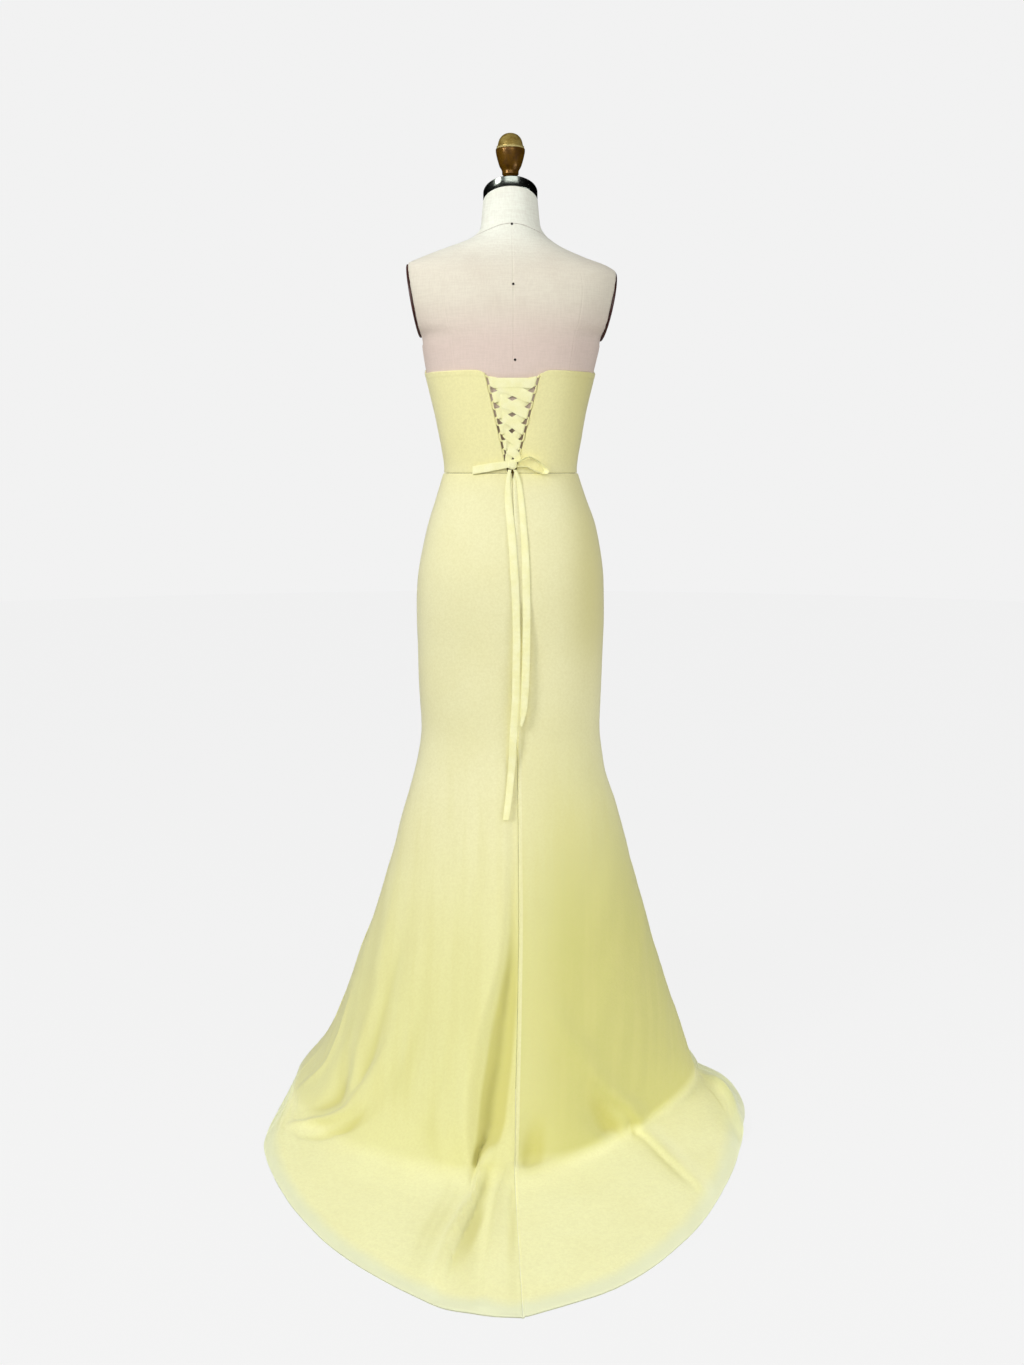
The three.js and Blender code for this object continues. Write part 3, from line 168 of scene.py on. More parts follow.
# Folds: height, or below 0 the percents of the way out to the hem; place across from centre back;
# how far out; and how wide to the left and to the right.
FOLDS = {
    "back_ridge": [
        [790, -0.07, 0, 40, 12], [700, -0.075, 2.5, 45, 12], [556, -0.088, 4.5, 50, 12],
        [462, -0.085, 6.5, 55, 13], [370, -0.082, 9, 60, 13], [286, -0.087, 12, 62, 14],
        [226, -0.12, 15, 62, 17], [168, -0.157, 19, 60, 20], [94, -0.17, 22, 54, 20],
        [62, -0.16, 22, 46, 18], [32, -0.147, 18, 38, 14], [10, -0.135, 12, 30, 10],
        [-5, -0.126, 7, 24, 8], [-16, -0.12, 0, 20, 8],
    ],
    "back_valley": [
        [700, -0.03, 0, 12, 12], [556, -0.036, -2.5, 12, 12], [370, -0.038, -6, 13, 14],
        [260, -0.038, -10, 15, 18], [208, -0.046, -14, 18, 20], [134, -0.058, -19, 22, 22],
        [96, -0.072, -22, 22, 24], [64, -0.08, -22, 20, 24], [44, -0.09, -18, 15, 20],
        [24, -0.1, -8, 11, 12], [4, -0.104, 0, 9, 9],
    ],
    "train_ridge": [
        [60, -0.078, 0, 13, 14], [40, -0.084, 7, 11, 13], [28, -0.087, 11, 10, 12], [0, -0.101, 13, 9, 11],
        [-26, -0.117, 13, 10, 10], [-54, -0.14, 12, 12, 10], [-83, -0.15, 7, 13, 10],
        [-97, -0.153, 0, 13, 10],
    ],
    "seam_ridge": [
        [520, 0.006, 0, 9, 30], [354, 0.004, 2.5, 9, 32], [208, 0.002, 4, 10, 36], [96, 0, 5, 12, 30],
        [50, -0.015, 5, 16, 22], [20, -0.028, 6, 18, 18], [0, -0.034, 6, 16, 16], [-14, -0.04, 6, 14, 14],
        [-35, -0.05, 5, 13, 13], [-55, -0.055, 3, 13, 13], [-72, -0.06, 0, 13, 13],
    ],
    "seam_pocket": [
        [84, 0.062, 0, 26, 34], [54, 0.06, -9, 26, 34], [30, 0.056, -16, 24, 33], [13, 0.052, -18, 21, 31],
        [1, 0.05, -7, 18, 28], [-6, 0.05, 0, 16, 24],
    ],
    "right_diagonal": [
        [260, 0.06, 0, 20, 20], [204, 0.122, 3, 20, 22], [150, 0.223, 4, 20, 24], [96, 0.32, 5, 17, 24],
        [62, 0.395, 6, 13, 24], [38, 0.455, 7, 10, 26], [-2, 0.508, 7, 9, 28], [-22, 0.493, 7, 8, 28],
        [-58, 0.47, 6, 8, 26], [-86, 0.455, 3, 8, 24], [-98, 0.45, 0, 8, 24],
    ],
    "right_dimple": [
        [96, 0.315, 0, 28, 26], [60, 0.335, -8, 30, 26], [36, 0.355, -13, 30, 24],
        [17, 0.382, -14, 27, 20], [3, 0.398, -6, 23, 16], [-6, 0.405, 0, 20, 14],
    ],
    "left_floor_fold": [
        [150, -0.52, 0, 16, 20], [110, -0.53, 4, 14, 18], [66, -0.568, 7, 13, 16], [48, -0.573, 9, 12, 15],
        [36, -0.587, 10, 12, 14], [22, -0.62, 10.5, 12, 13], [8, -0.662, 10, 12, 13],
        [-19, -0.738, 7, 12, 13], [-49, -0.782, 0, 12, 13],
    ],
    "left_floor_hollow": [
        [110, -0.69, 0, 24, 22], [68, -0.68, -6, 25, 22], [44, -0.665, -8, 23, 20],
        [28, -0.69, -6, 20, 16], [8, -0.74, 0, 18, 14],
    ],
    "left_side": [
        [380, -0.8, 0, 30, 22], [304, -0.76, 3, 28, 20], [224, -0.69, 4, 24, 16],
        [180, -0.652, 4.5, 22, 14], [108, -0.658, 5, 20, 13], [78, -0.632, 4.5, 18, 13],
        [58, -0.612, 3.5, 16, 13], [40, -0.605, 0, 14, 12],
    ],
    "left_side_valley": [
        [300, -0.6, 0, 14, 14], [184, -0.602, -2.5, 12, 14], [144, -0.595, -3, 12, 14],
        [104, -0.585, -3.5, 11, 13], [70, -0.595, -3, 11, 12], [50, -0.61, 0, 11, 11],
    ],
    "left_softer": [
        [300, -0.52, 0, 24, 24], [248, -0.515, 2, 22, 20], [178, -0.51, 4, 18, 18],
        [110, -0.51, 5, 16, 16], [80, -0.515, 5, 15, 15], [60, -0.525, 4, 14, 14], [36, -0.53, 0, 13, 14],
    ],
    "left_soft": [
        [400, -0.42, 0, 36, 36], [314, -0.38, 3, 34, 34], [164, -0.312, 5, 24, 20],
        [114, -0.307, 6, 21, 16], [82, -0.305, 5, 19, 14], [50, -0.302, 2, 18, 14], [24, -0.3, 0, 18, 14],
    ],
    "right_hem_curl": [
        [-40, 0.96, 0, 26, 14], [-60, 0.92, 6, 26, 22], [-72, 0.875, 13, 26, 34], [-82, 0.8, 15, 24, 38],
        [-91, 0.74, 14, 24, 38], [-100, 0.7, 12, 24, 38],
    ],
    "front_flutes": [
        [520, 1.48, 0, 40, 40], [300, 1.47, 5, 40, 40], [60, 1.46, 8, 40, 40], [0, 1.46, 5, 36, 36],
        [-60, 1.46, 0, 34, 34],
    ],
    "front_flutes_left": [
        [520, -1.56, 0, 40, 40], [300, -1.55, 5, 40, 40], [60, -1.54, 8, 40, 40], [0, -1.54, 5, 36, 36],
        [-60, -1.54, 0, 34, 34],
    ],
}
# Smaller folds, in the same columns as the folds above.
FINE_FOLDS = {
    "notch": [
        [52, -0.092, 0, 6, 6], [42, -0.098, -7, 6, 6], [30, -0.11, -10, 6, 6], [14, -0.112, -11, 5, 5],
        [0, -0.113, -10, 5, 5], [-12, -0.116, -8, 5, 5], [-23, -0.12, -5, 5, 5], [-33, -0.124, 0, 5, 5],
    ],
    "train_groove": [
        [4, -0.078, 0, 7, 8], [-8, -0.086, -4, 7, 8], [-30, -0.1, -6, 7, 9], [-50, -0.112, -7, 7, 9],
        [-68, -0.124, -6, 7, 9], [-84, -0.131, 0, 7, 9],
    ],
    "train_crease": [
        [-24, -0.052, 0, 3, 20], [-41, -0.06, 3, 3, 24], [-72, -0.065, 4, 3, 26], [-98, -0.072, 3, 3, 26],
    ],
    "left_floor_under": [
        [80, -0.5, 0, 10, 12], [38, -0.53, -5, 11, 13], [24, -0.545, -7, 11, 13], [12, -0.562, -7, 11, 13],
        [-2, -0.6, -6, 12, 13], [-14, -0.645, -4, 12, 13], [-42, -0.735, 0, 12, 13],
    ],
    "left_edge_crease": [
        [170, -0.87, 0, 8, 10], [140, -0.858, 3, 8, 10], [112, -0.843, 4, 8, 10], [70, -0.827, 4.5, 8, 10],
        [36, -0.86, 4, 8, 10], [-10, -0.915, 0, 8, 10],
    ],
    "left_middle": [
        [300, -0.5, 0, 16, 16], [248, -0.487, 2.5, 16, 16], [182, -0.452, 3.5, 15, 15],
        [120, -0.415, 4, 14, 14], [70, -0.4, 0, 14, 14],
    ],
    "left_groove": [
        [330, -0.32, 0, 14, 14], [256, -0.315, -2.5, 13, 13], [202, -0.305, -3, 13, 13],
        [152, -0.27, -3, 13, 13], [104, -0.262, -2.5, 13, 13], [60, -0.255, 0, 12, 12],
    ],
    "left_streak": [
        [560, -0.33, 0, 20, 20], [480, -0.33, 1.5, 18, 18], [400, -0.335, 2, 16, 16],
        [330, -0.34, 0, 14, 14],
    ],
    "hem_slit": [
        [-30, 0.92, 0, 7, 7], [-40, 0.885, -6, 6, 7], [-51, 0.845, -9, 6, 7], [-62, 0.798, -9, 6, 7],
        [-72, 0.758, -6, 6, 7], [-82, 0.72, 0, 6, 7],
    ],
    "diagonal_groove": [
        [56, 0.415, 0, 9, 8], [16, 0.47, -4, 9, 7], [-13, 0.482, -6, 9, 7], [-36, 0.462, -6.5, 9, 7],
        [-58, 0.448, -6, 9, 7], [-86, 0.436, 0, 8, 7],
    ],
    "short_ridge": [
        [14, -0.006, 0, 8, 8], [0, -0.017, 6, 8, 9], [-14, -0.04, 7.5, 8, 10], [-35, -0.05, 6, 9, 12],
        [-55, -0.055, 3, 10, 12], [-70, -0.058, 0, 10, 12],
    ],
    "seam_side": [
        [4, -0.01, 0, 7, 5], [-20, -0.011, -3, 8, 5], [-60, -0.013, -4, 10, 5], [-99, -0.014, -3, 10, 5],
    ],
}

# ---------------------------------------------------------------- curves
def smooth(xs, ys, x):
    """A smooth curve through the points (xs, ys), read at x."""
    xs, ys = np.asarray(xs, float), np.asarray(ys, float)
    x = np.clip(x, xs[0], xs[-1])
    i = np.clip(np.searchsorted(xs, x) - 1, 0, len(xs) - 2)
    k = np.arange(len(xs))
    a, b = np.maximum(k - 1, 0), np.minimum(k + 1, len(xs) - 1)
    slope = (ys[b] - ys[a]) / (xs[b] - xs[a])
    h = xs[i + 1] - xs[i]
    t = (x - xs[i]) / h
    t2, t3 = t * t, t * t * t
    return ((2 * t3 - 3 * t2 + 1) * ys[i] + (t3 - 2 * t2 + t) * h * slope[i]
            + (3 * t2 - 2 * t3) * ys[i + 1] + (t3 - t2) * h * slope[i + 1])


def read(table, x):
    """The columns of a table whose first column rises or falls, read at x."""
    rows = np.asarray(table, float)
    if rows[0, 0] > rows[-1, 0]:
        rows = rows[::-1]
    return [smooth(rows[:, 0], rows[:, k], x) for k in range(1, rows.shape[1])]


def unit(v):
    return v / np.maximum(np.linalg.norm(v, axis=-1, keepdims=True), 1e-12)


def refined(rows, steps):
    """Rows read smoothly at that many places between each two."""
    rows = np.asarray(rows, float)
    index = np.arange(len(rows))
    t = np.linspace(0, len(rows) - 1, steps * (len(rows) - 1) + 1)
    return np.stack([smooth(index, rows[:, k], t) for k in range(rows.shape[1])], 1)


def measured(x, y):
    """Points, the part of the way to each, and the whole length."""
    at = np.concatenate([[0], np.cumsum(np.hypot(np.diff(x), np.diff(y)))])
    return x, y, at / at[-1], at[-1]


ANGLES = np.linspace(0, math.pi / 2, 193)


def quarter(width, depth, square, mid, drift=0.0):
    """A quarter of a rounded section, from its middle line to its side."""
    x, y, at, length = measured(width * np.sin(ANGLES) ** (2 / square),
                                depth * np.cos(ANGLES).clip(0) ** (2 / square) + mid)
    return x + drift * (1 - at) ** 2, y, at, length


def ring_point(ring, across):
    """x, y and quarter length at places across, where 0 is centre back and 2 centre front."""
    across = (across + 2) % 4 - 2
    reach = np.abs(across)
    back = reach <= 1
    part = np.where(back, reach, 2 - reach)
    out = np.zeros((3,) + across.shape)
    for name, mask in (("back_left", back & (across < 0)), ("back_right", back & (across >= 0)),
                       ("front_left", ~back & (across < 0)), ("front_right", ~back & (across >= 0))):
        x, y, at, length = ring[name]
        out[0][mask] = np.interp(part[mask], at, x)
        out[1][mask] = np.interp(part[mask], at, y)
        out[2][mask] = length
    return out


# ---------------------------------------------------------------- skirt
def section(left, right, mid, back, front, squares, drift=0.0):
    """The four quarters of a rounded section. squares says how square it is at left, right and front."""
    square_left, square_right, square_front = squares
    return {"back_left": quarter(-left, back - mid, square_left, mid, drift),
            "back_right": quarter(right, back - mid, square_right, mid, drift),
            "front_left": quarter(-left, front - mid, square_front, mid),
            "front_right": quarter(right, front - mid, square_front, mid)}


def skirt_ring(z):
    *sizes, square_left, square_right, drift = (float(v) for v in read(SKIRT, z))
    square_front = 2.0 + 0.2 * min(1, max(0, (z - 400) / 200))  # squarer from the knee up
    return section(*sizes, (square_left, square_right, square_front), drift)


def hem_ring():
    """The hem on the floor, as a section's four quarters."""
    left, right = HEM_LEFT[-1], HEM_RIGHT[-1]
    return {"back_left": measured(*refined(HEM_LEFT, 24).T),
            "back_right": measured(*refined(HEM_RIGHT, 24).T),
            "front_left": quarter(left[0], FRONT_HEM_Y - left[1], 1.75, left[1]),
            "front_right": quarter(right[0], FRONT_HEM_Y - right[1], 1.85, right[1])}


HEM = hem_ring()


def floor_z(x):
    """A height above the floor, rounded off where the skirt settles on it."""
    return SKIRT_WALL + FLOOR_BEND * np.logaddexp(0, x / FLOOR_BEND)


FLOOR_START = FLOOR_BEND * math.log(2)  # what the rounding leaves at height 0


def floor_reach(across, start, hem):
    """How far the skirt runs out while it settles on the floor, by its slope where it starts to."""
    above_x, above_y, _ = ring_point(skirt_ring(2), across)
    way_x, way_y = hem[0] - start[0], hem[1] - start[1]
    outward = (start[0] - above_x) * way_x + (start[1] - above_y) * way_y
    return 2 * FLOOR_START * np.maximum(outward / (2 * np.hypot(way_x, way_y)), 0.18)


def skirt_base(across, down):
    """The skirt without folds. across holds a row of places for each of the steps in down.

    Down to 0 a step is a height. Below that it is in percents of the way out over the floor to the hem.
    """
    points = np.zeros(across.shape + (3,))
    lengths = np.zeros(across.shape)
    for r, d in enumerate(np.maximum(down, -100)):
        x, y, length = ring_point(skirt_ring(max(d, 0)), across[r])
        if d >= 0:
            z = floor_z(d)
        else:
            hem_x, hem_y, hem_length = ring_point(HEM, across[r])
            part = -d / 100
            run = part * np.hypot(hem_x - x, hem_y - y)
            x0, y0 = x, y
            x, y = x + part * (hem_x - x), y + part * (hem_y - y)
            z = SKIRT_WALL + FLOOR_START * np.exp(-run / floor_reach(across[r], (x0, y0), (hem_x, hem_y)))
            length = length + part * (hem_length - length)
        points[r, :, 0], points[r, :, 1], points[r, :, 2] = x, y, z
        lengths[r] = length
    return points, lengths


def fold_height(folds, across, down, lengths, crisp=2.0):
    """How far the folds stand out, with softer or crisper crests."""
    total = np.zeros(across.shape)
    for rows in folds.values():
        low, high = rows[-1][0], rows[0][0]
        inside = (down >= low) & (down <= high)
        if not inside.any():
            continue
        place, height, left, right = (v[:, None] for v in read(rows, down[inside]))
        off = ((across[inside] + 2) % 4 - 2 - place) * lengths[inside]
        width = np.where(off < 0, left, right)
        total[inside] += height * np.exp(-(np.abs(off / width) ** crisp))
    return total


def hollow_depth(height, across, lengths):
    """How far each place lies below the cloth on both sides of it, in mm."""
    deep = np.zeros(height.shape)
    for r in range(len(height)):
        place = across[r] * lengths[r]
        for reach in (14.0, 28.0, 42.0):
            before = np.interp(place - reach, place, height[r])
            after = np.interp(place + reach, place, height[r])
            deep[r] = np.maximum(deep[r], (before + after) / 2 - height[r])
    return deep


def base_normal(across, down):
    """The way out from the skirt without folds."""
    held = np.clip(down, -98, 1026)
    sideways = skirt_base(across + 0.01, held)[0] - skirt_base(across - 0.01, held)[0]
    upwards = skirt_base(across, held + 1)[0] - skirt_base(across, held - 1)[0]
    return unit(np.cross(sideways, upwards))


def ripples(u, v, seed, count, longest, shortest):
    """A sum of soft waves over the cloth, about -1 to 1. Places in mm."""
    rng = np.random.default_rng(seed)
    total = np.zeros(np.broadcast(u, v).shape)
    for _ in range(count):
        wave = 2 * math.pi / rng.uniform(shortest, longest)
        turn, phase = rng.uniform(0, math.pi), rng.uniform(0, 2 * math.pi)
        total += np.sin(wave * (u * math.cos(turn) + v * math.sin(turn)) + phase)
    return total / math.sqrt(count)


def bump(x, middle, width):
    """1 at the middle, and nothing beyond about twice the width."""
    return np.exp(-(((x - middle) / width) ** 2))


EDGE_STEPS = np.array([0.0, 0.6, 1.3, 2.2, 3.4, 5.0, 7.0])


def spread_columns(low, high, count, lengths, slits=(SEAM_HALF, SEAM_HALF)):
    """Places across for each row: close together by both sewn edges, even between."""
    left = low + (slits[0] + EDGE_STEPS) / lengths[0]
    right = high - (slits[1] + EDGE_STEPS[::-1]) / lengths[1]
    t = np.linspace(0, 1, count)[1:-1]
    middle = left[:, -1:] + t * (right[:, :1] - left[:, -1:])
    return np.concatenate([left, middle, right], 1)


def path_down(points):
    """Distance down each column from the first row, in mm."""
    steps = np.linalg.norm(np.diff(points, axis=0), axis=2)
    return np.concatenate([np.zeros((1, points.shape[1])), np.cumsum(steps, 0)], 0)


def path_across(points, across, middle):
    """Distance along each row from the place across that is called middle, in mm."""
    steps = np.linalg.norm(np.diff(points, axis=1), axis=2)
    along = np.concatenate([np.zeros((len(points), 1)), np.cumsum(steps, 1)], 1)
    start = np.argmin(np.abs(across - middle), 1)
    return along - along[np.arange(len(along)), start][:, None]


def grid_normal(points):
    upwards = -np.gradient(points, axis=0)
    sideways = np.gradient(points, axis=1)
    return unit(np.cross(sideways, upwards))


def step(height, x, edge, soft):
    """That high below the edge, and nothing above it."""
    return height / (1 + np.exp(np.clip((x - edge) / soft, -30, 30)))


def half_slit(edge, down):
    """Half the slit at a sewn edge. It opens at the top of the centre back seam, which is edge 0."""
    opening = SLIT_OPENS * np.clip((down - SLIT_OPENS_FROM) / SLIT_OPENS_OVER, 0, 1)
    return SEAM_HALF + (opening if edge == 0 else 0 * opening)


SKIRT_ROWS = np.concatenate([
    [1024.85, 1024.2, 1023.2, 1021.5, 1019], np.arange(1015, 64, -5.0), np.arange(62, 0, -3.0),
    np.arange(0, -98.5, -1.5), [-98.9, -99.4, -99.7, -99.9, -100]])
HEM_DEEP = 24.0  # depth of the turned hem
LOOSE_FROM, LOOSE_OVER = 720, 500  # below this height the skirt hangs free and ripples more


def skirt_relief(down, u, depth, from_hem, seams):
    """Ripples, the ridges and grooves of the seams, and the turned hem."""
    loose = np.clip((LOOSE_FROM - down) / LOOSE_OVER, 0, 1)[:, None]
    relief = (0.10 + 0.55 * loose) * ripples(u, depth, seed=11, count=14, longest=160, shortest=60)
    relief += (0.05 + 0.10 * loose) * ripples(u, depth, seed=23, count=18, longest=45, shortest=16)
    for distance, raised in seams:
        relief += raised * bump(distance, 3.2, 2.2) - 1.0 * bump(distance, 0, 0.9)
    relief += step(0.45, from_hem, HEM_DEEP, 1.2) - 0.7 * bump(from_hem, 0, 1.2)
    return relief - 0.9 * bump(depth, 0, 1.3)


def skirt_panel(low, high, count, low_side, high_side, middle):
    """Outer and inner grids of a panel from one seam to the next, with its lengths and depths."""
    down = SKIRT_ROWS
    edge_lengths = [skirt_base(np.full((len(down), 1), edge), down)[1] for edge in (low + 1e-6, high - 1e-6)]
    slits = [half_slit(edge, down[:, None]) for edge in (low, high)]
    across = spread_columns(low, high, count, edge_lengths, slits)
    base, lengths = skirt_base(across, down)
    height = fold_height(FOLDS, across, down, lengths)
    height += fold_height(FINE_FOLDS, across, down, lengths, 1.6)
    # hollow drives the crepe's painted shade in the hollows of the folds
    hollow = hollow_depth(height, across, lengths)
    depth, u = path_down(base), path_across(base, across, middle)
    from_hem = depth[-1] - depth
    seams = (((across - low) * lengths, low_side), ((high - across) * lengths, high_side))
    height += skirt_relief(down, u, depth, from_hem, seams)
    outer = base + base_normal(across, down) * height[..., None]
    outer[..., 2] = np.maximum(outer[..., 2], SKIRT_WALL - 0.3)
    inner = outer - grid_normal(outer) * (SKIRT_WALL - 0.2)
    inner[..., 2] = np.maximum(inner[..., 2], 0.0)
    seam_x = skirt_base(np.zeros((len(down), 1)), down)[0][..., 0]
    return {"outer": outer, "inner": inner, "u": u, "v": depth, "from_hem": from_hem,
            "hollow": hollow, "aside": base[..., 0] - seam_x}


# ---------------------------------------------------------------- form's skin
FORM_ZS = np.arange(745.0, 1491.0)
FORM_STEPS = 192  # columns in each quarter
FORM_US = np.linspace(-2, 2, 4 * FORM_STEPS + 1)


def form_ring(z):
    *sizes, square = (float(v) for v in read(FORM, z))
    return section(*sizes, (square, square, square))


def form_grids():
    """The form's x and y by height and place across, and its quarters' lengths by height."""
    x, y = np.zeros((2, len(FORM_ZS), len(FORM_US)))
    lengths = {name: np.zeros(len(FORM_ZS)) for name in ("back_left", "back_right", "front_right")}
    for i, z in enumerate(FORM_ZS):
        ring = form_ring(z)
        x[i], y[i], _ = ring_point(ring, FORM_US)
        for name in lengths:
            lengths[name][i] = ring[name][3]
    x[:, -1], y[:, -1] = x[:, 0], y[:, 0]
    return x, y, lengths


FORM_X, FORM_Y, FORM_LENGTHS = form_grids()


def form_point(across, z):
    """The form's skin, at places across and heights."""
    across, z = np.broadcast_arrays(np.asarray(across, float), np.asarray(z, float))
    j = ((across + 2) % 4) * FORM_STEPS
    i = np.clip(z - FORM_ZS[0], 0, len(FORM_ZS) - 1.001)
    j0, i0 = np.minimum(j.astype(int), 4 * FORM_STEPS - 1), i.astype(int)
    tj, ti = j - j0, i - i0
    out = []
    for grid in (FORM_X, FORM_Y):
        low = grid[i0, j0] * (1 - tj) + grid[i0, j0 + 1] * tj
        high = grid[i0 + 1, j0] * (1 - tj) + grid[i0 + 1, j0 + 1] * tj
        out.append(low * (1 - ti) + high * ti)
    return np.stack([*out, z], -1)


def off_form(across, z, depth):
    """A point that far out from the form's skin."""
    sideways = form_point(across + 0.02, z) - form_point(across - 0.02, z)
    upwards = form_point(across, z + 3) - form_point(across, z - 3)
    normal = unit(np.cross(sideways, upwards))
    return form_point(across, z) + normal * np.asarray(depth, float)[..., None]


def form_length(name, z):
    return np.interp(z, FORM_ZS, FORM_LENGTHS[name])


def on_back(x, z, depth):
    """A point near centre back by its x and height, that far out from the form's skin."""
    x, z, depth = np.broadcast_arrays(np.asarray(x, float), np.asarray(z, float), depth)
    length = np.where(x < 0, form_length("back_left", z), form_length("back_right", z))
    return off_form(x / length, z, depth)


# ---------------------------------------------------------------- meshes
def make_object(name, points, faces, material, uv=None, sharp=50, values=None):
    """A piece from points in mm, its faces turned outwards."""
    points = np.asarray(points, float) * MM
    mesh = bpy.data.meshes.new(name)
    mesh.from_pydata(points.tolist(), [], [tuple(f) for f in faces])
    turn_outwards(mesh, points)
    if uv is not None:
        index = np.zeros(len(mesh.loops), int)
        mesh.loops.foreach_get("vertex_index", index)
        layer = mesh.uv_layers.new(name="cloth")
        layer.data.foreach_set("uv", (np.asarray(uv, float) * MM)[index].ravel())
    for key, data in (values or {}).items():
        mesh.attributes.new(key, "FLOAT", "POINT").data.foreach_set("value", np.asarray(data, float))
    mesh.shade_smooth()
    mesh.set_sharp_from_angle(angle=math.radians(sharp))
    mesh.materials.append(material)
    piece = bpy.data.objects.new(name, mesh)
    bpy.context.scene.collection.objects.link(piece)
    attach(piece, "root")
    return piece


def turn_outwards(mesh, points):
    """Flips the faces where they hold a negative volume."""
    mesh.calc_loop_triangles()
    corners = np.zeros(len(mesh.loop_triangles) * 3, int)
    mesh.loop_triangles.foreach_get("vertices", corners)
    a, b, c = (points[corners.reshape(-1, 3)[:, k]] for k in range(3))
    if np.einsum("ij,ij->", a, np.cross(b, c)) < 0:
        mesh.flip_normals()


def stand_for(piece, node):
    """The piece takes a solid's place, and the solid is hidden."""
    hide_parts(node)
    return piece


def grid(rows, width):
    return np.arange(rows * width).reshape(rows, width)


def wall(name, panel, material):
    """A closed shell between a panel's outer and inner grids."""
    outer, inner = panel["outer"], panel["inner"]
    rows, width = outer.shape[:2]
    points = np.concatenate([outer.reshape(-1, 3), inner.reshape(-1, 3)])
    index = grid(rows, width)
    back = index + rows * width
    front = np.stack([index[:-1, :-1], index[:-1, 1:], index[1:, 1:], index[1:, :-1]], -1)
    rear = np.stack([back[:-1, :-1], back[1:, :-1], back[1:, 1:], back[:-1, 1:]], -1)
    rim = np.concatenate([index[0], index[1:, -1], index[-1, -2::-1], index[-2:0:-1, 0]])
    beside = np.roll(rim, -1)
    edge = np.stack([beside, rim, rim + rows * width, beside + rows * width], -1)
    faces = [*front.reshape(-1, 4).tolist(), *rear.reshape(-1, 4).tolist(), *edge.tolist()]
    uv = np.stack([panel["u"], -panel["v"]], -1).reshape(-1, 2)
    values = {key: np.tile(panel[key].ravel() * MM, 2) for key in ("from_hem", "hollow", "aside")}
    return make_object(name, points, faces, material, uv=np.tile(uv, (2, 1)), values=values)


def loft(name, rings, material, **more):
    """A stack of like closed rings with flat ends."""
    rings = np.asarray(rings, float)
    index = grid(*rings.shape[:2])
    beside = np.roll(index, -1, 1)
    faces = np.stack([index[:-1], beside[:-1], beside[1:], index[1:]], -1).reshape(-1, 4).tolist()
    faces += [index[0][::-1].tolist(), index[-1].tolist()]
    return make_object(name, rings.reshape(-1, 3), faces, material, **more)


def turns(count):
    """Angles of that many places round a circle."""
    return np.linspace(0, 2 * math.pi, count, endpoint=False)


RIBBON_COLUMNS = 9


def ribbon(name, a, b, thick, cup=0.0):
    """A flat ribbon between two edge lines, with soft edges. cup bows its middle out."""
    up = unit(np.cross(np.gradient(a + b, axis=0), b - a))[:, None]
    s = np.linspace(0, 1, RIBBON_COLUMNS)
    middle = a[:, None] + (b - a)[:, None] * s[None, :, None]
    middle = middle + up * (cup * (1 - (2 * s - 1) ** 2))[None, :, None]
    round_off = np.sqrt(np.clip(1 - np.abs(2 * s - 1) ** 10, 0.12, 1))
    half = (thick / 2) * round_off[None, :, None] * up
    rings = np.concatenate([middle + half, (middle - half)[:, ::-1]], 1)
    width = np.linalg.norm(b - a, axis=1)
    run = np.concatenate([[0], np.cumsum(np.linalg.norm(np.diff(a + b, axis=0), axis=1) / 2)])
    u = np.concatenate([s, s[::-1]])[None, :] * width[:, None]
    uv = np.stack([u, np.broadcast_to(run[:, None], u.shape)], -1).reshape(-1, 2)
    return loft(name, rings, RIBBON, uv=uv, sharp=65)


def tube(name, path, radius, sides, material, values):
    """A round cord along a path on the back."""
    way = unit(np.gradient(path, axis=0))
    side = unit(np.cross(way, np.array([0.0, -1.0, 0.0])))
    up = np.cross(side, way)
    turn = turns(sides)[None, :, None]
    rings = path[:, None] + radius * (up[:, None] * np.cos(turn) + side[:, None] * np.sin(turn))
    return loft(name, rings, material, sharp=70, values=values)


def turned(name, profile, middle, material):
    """A turned piece on an upright axis at middle, from radii and heights."""
    profile, turn = np.asarray(profile, float), turns(96)
    radius = np.maximum(profile[:, :1], 0.02)
    rings = np.stack([middle[0] + radius * np.cos(turn), middle[1] + radius * np.sin(turn),
                      middle[2] + profile[:, 1:] + 0 * turn], -1)
    return loft(name, rings, material, sharp=35)


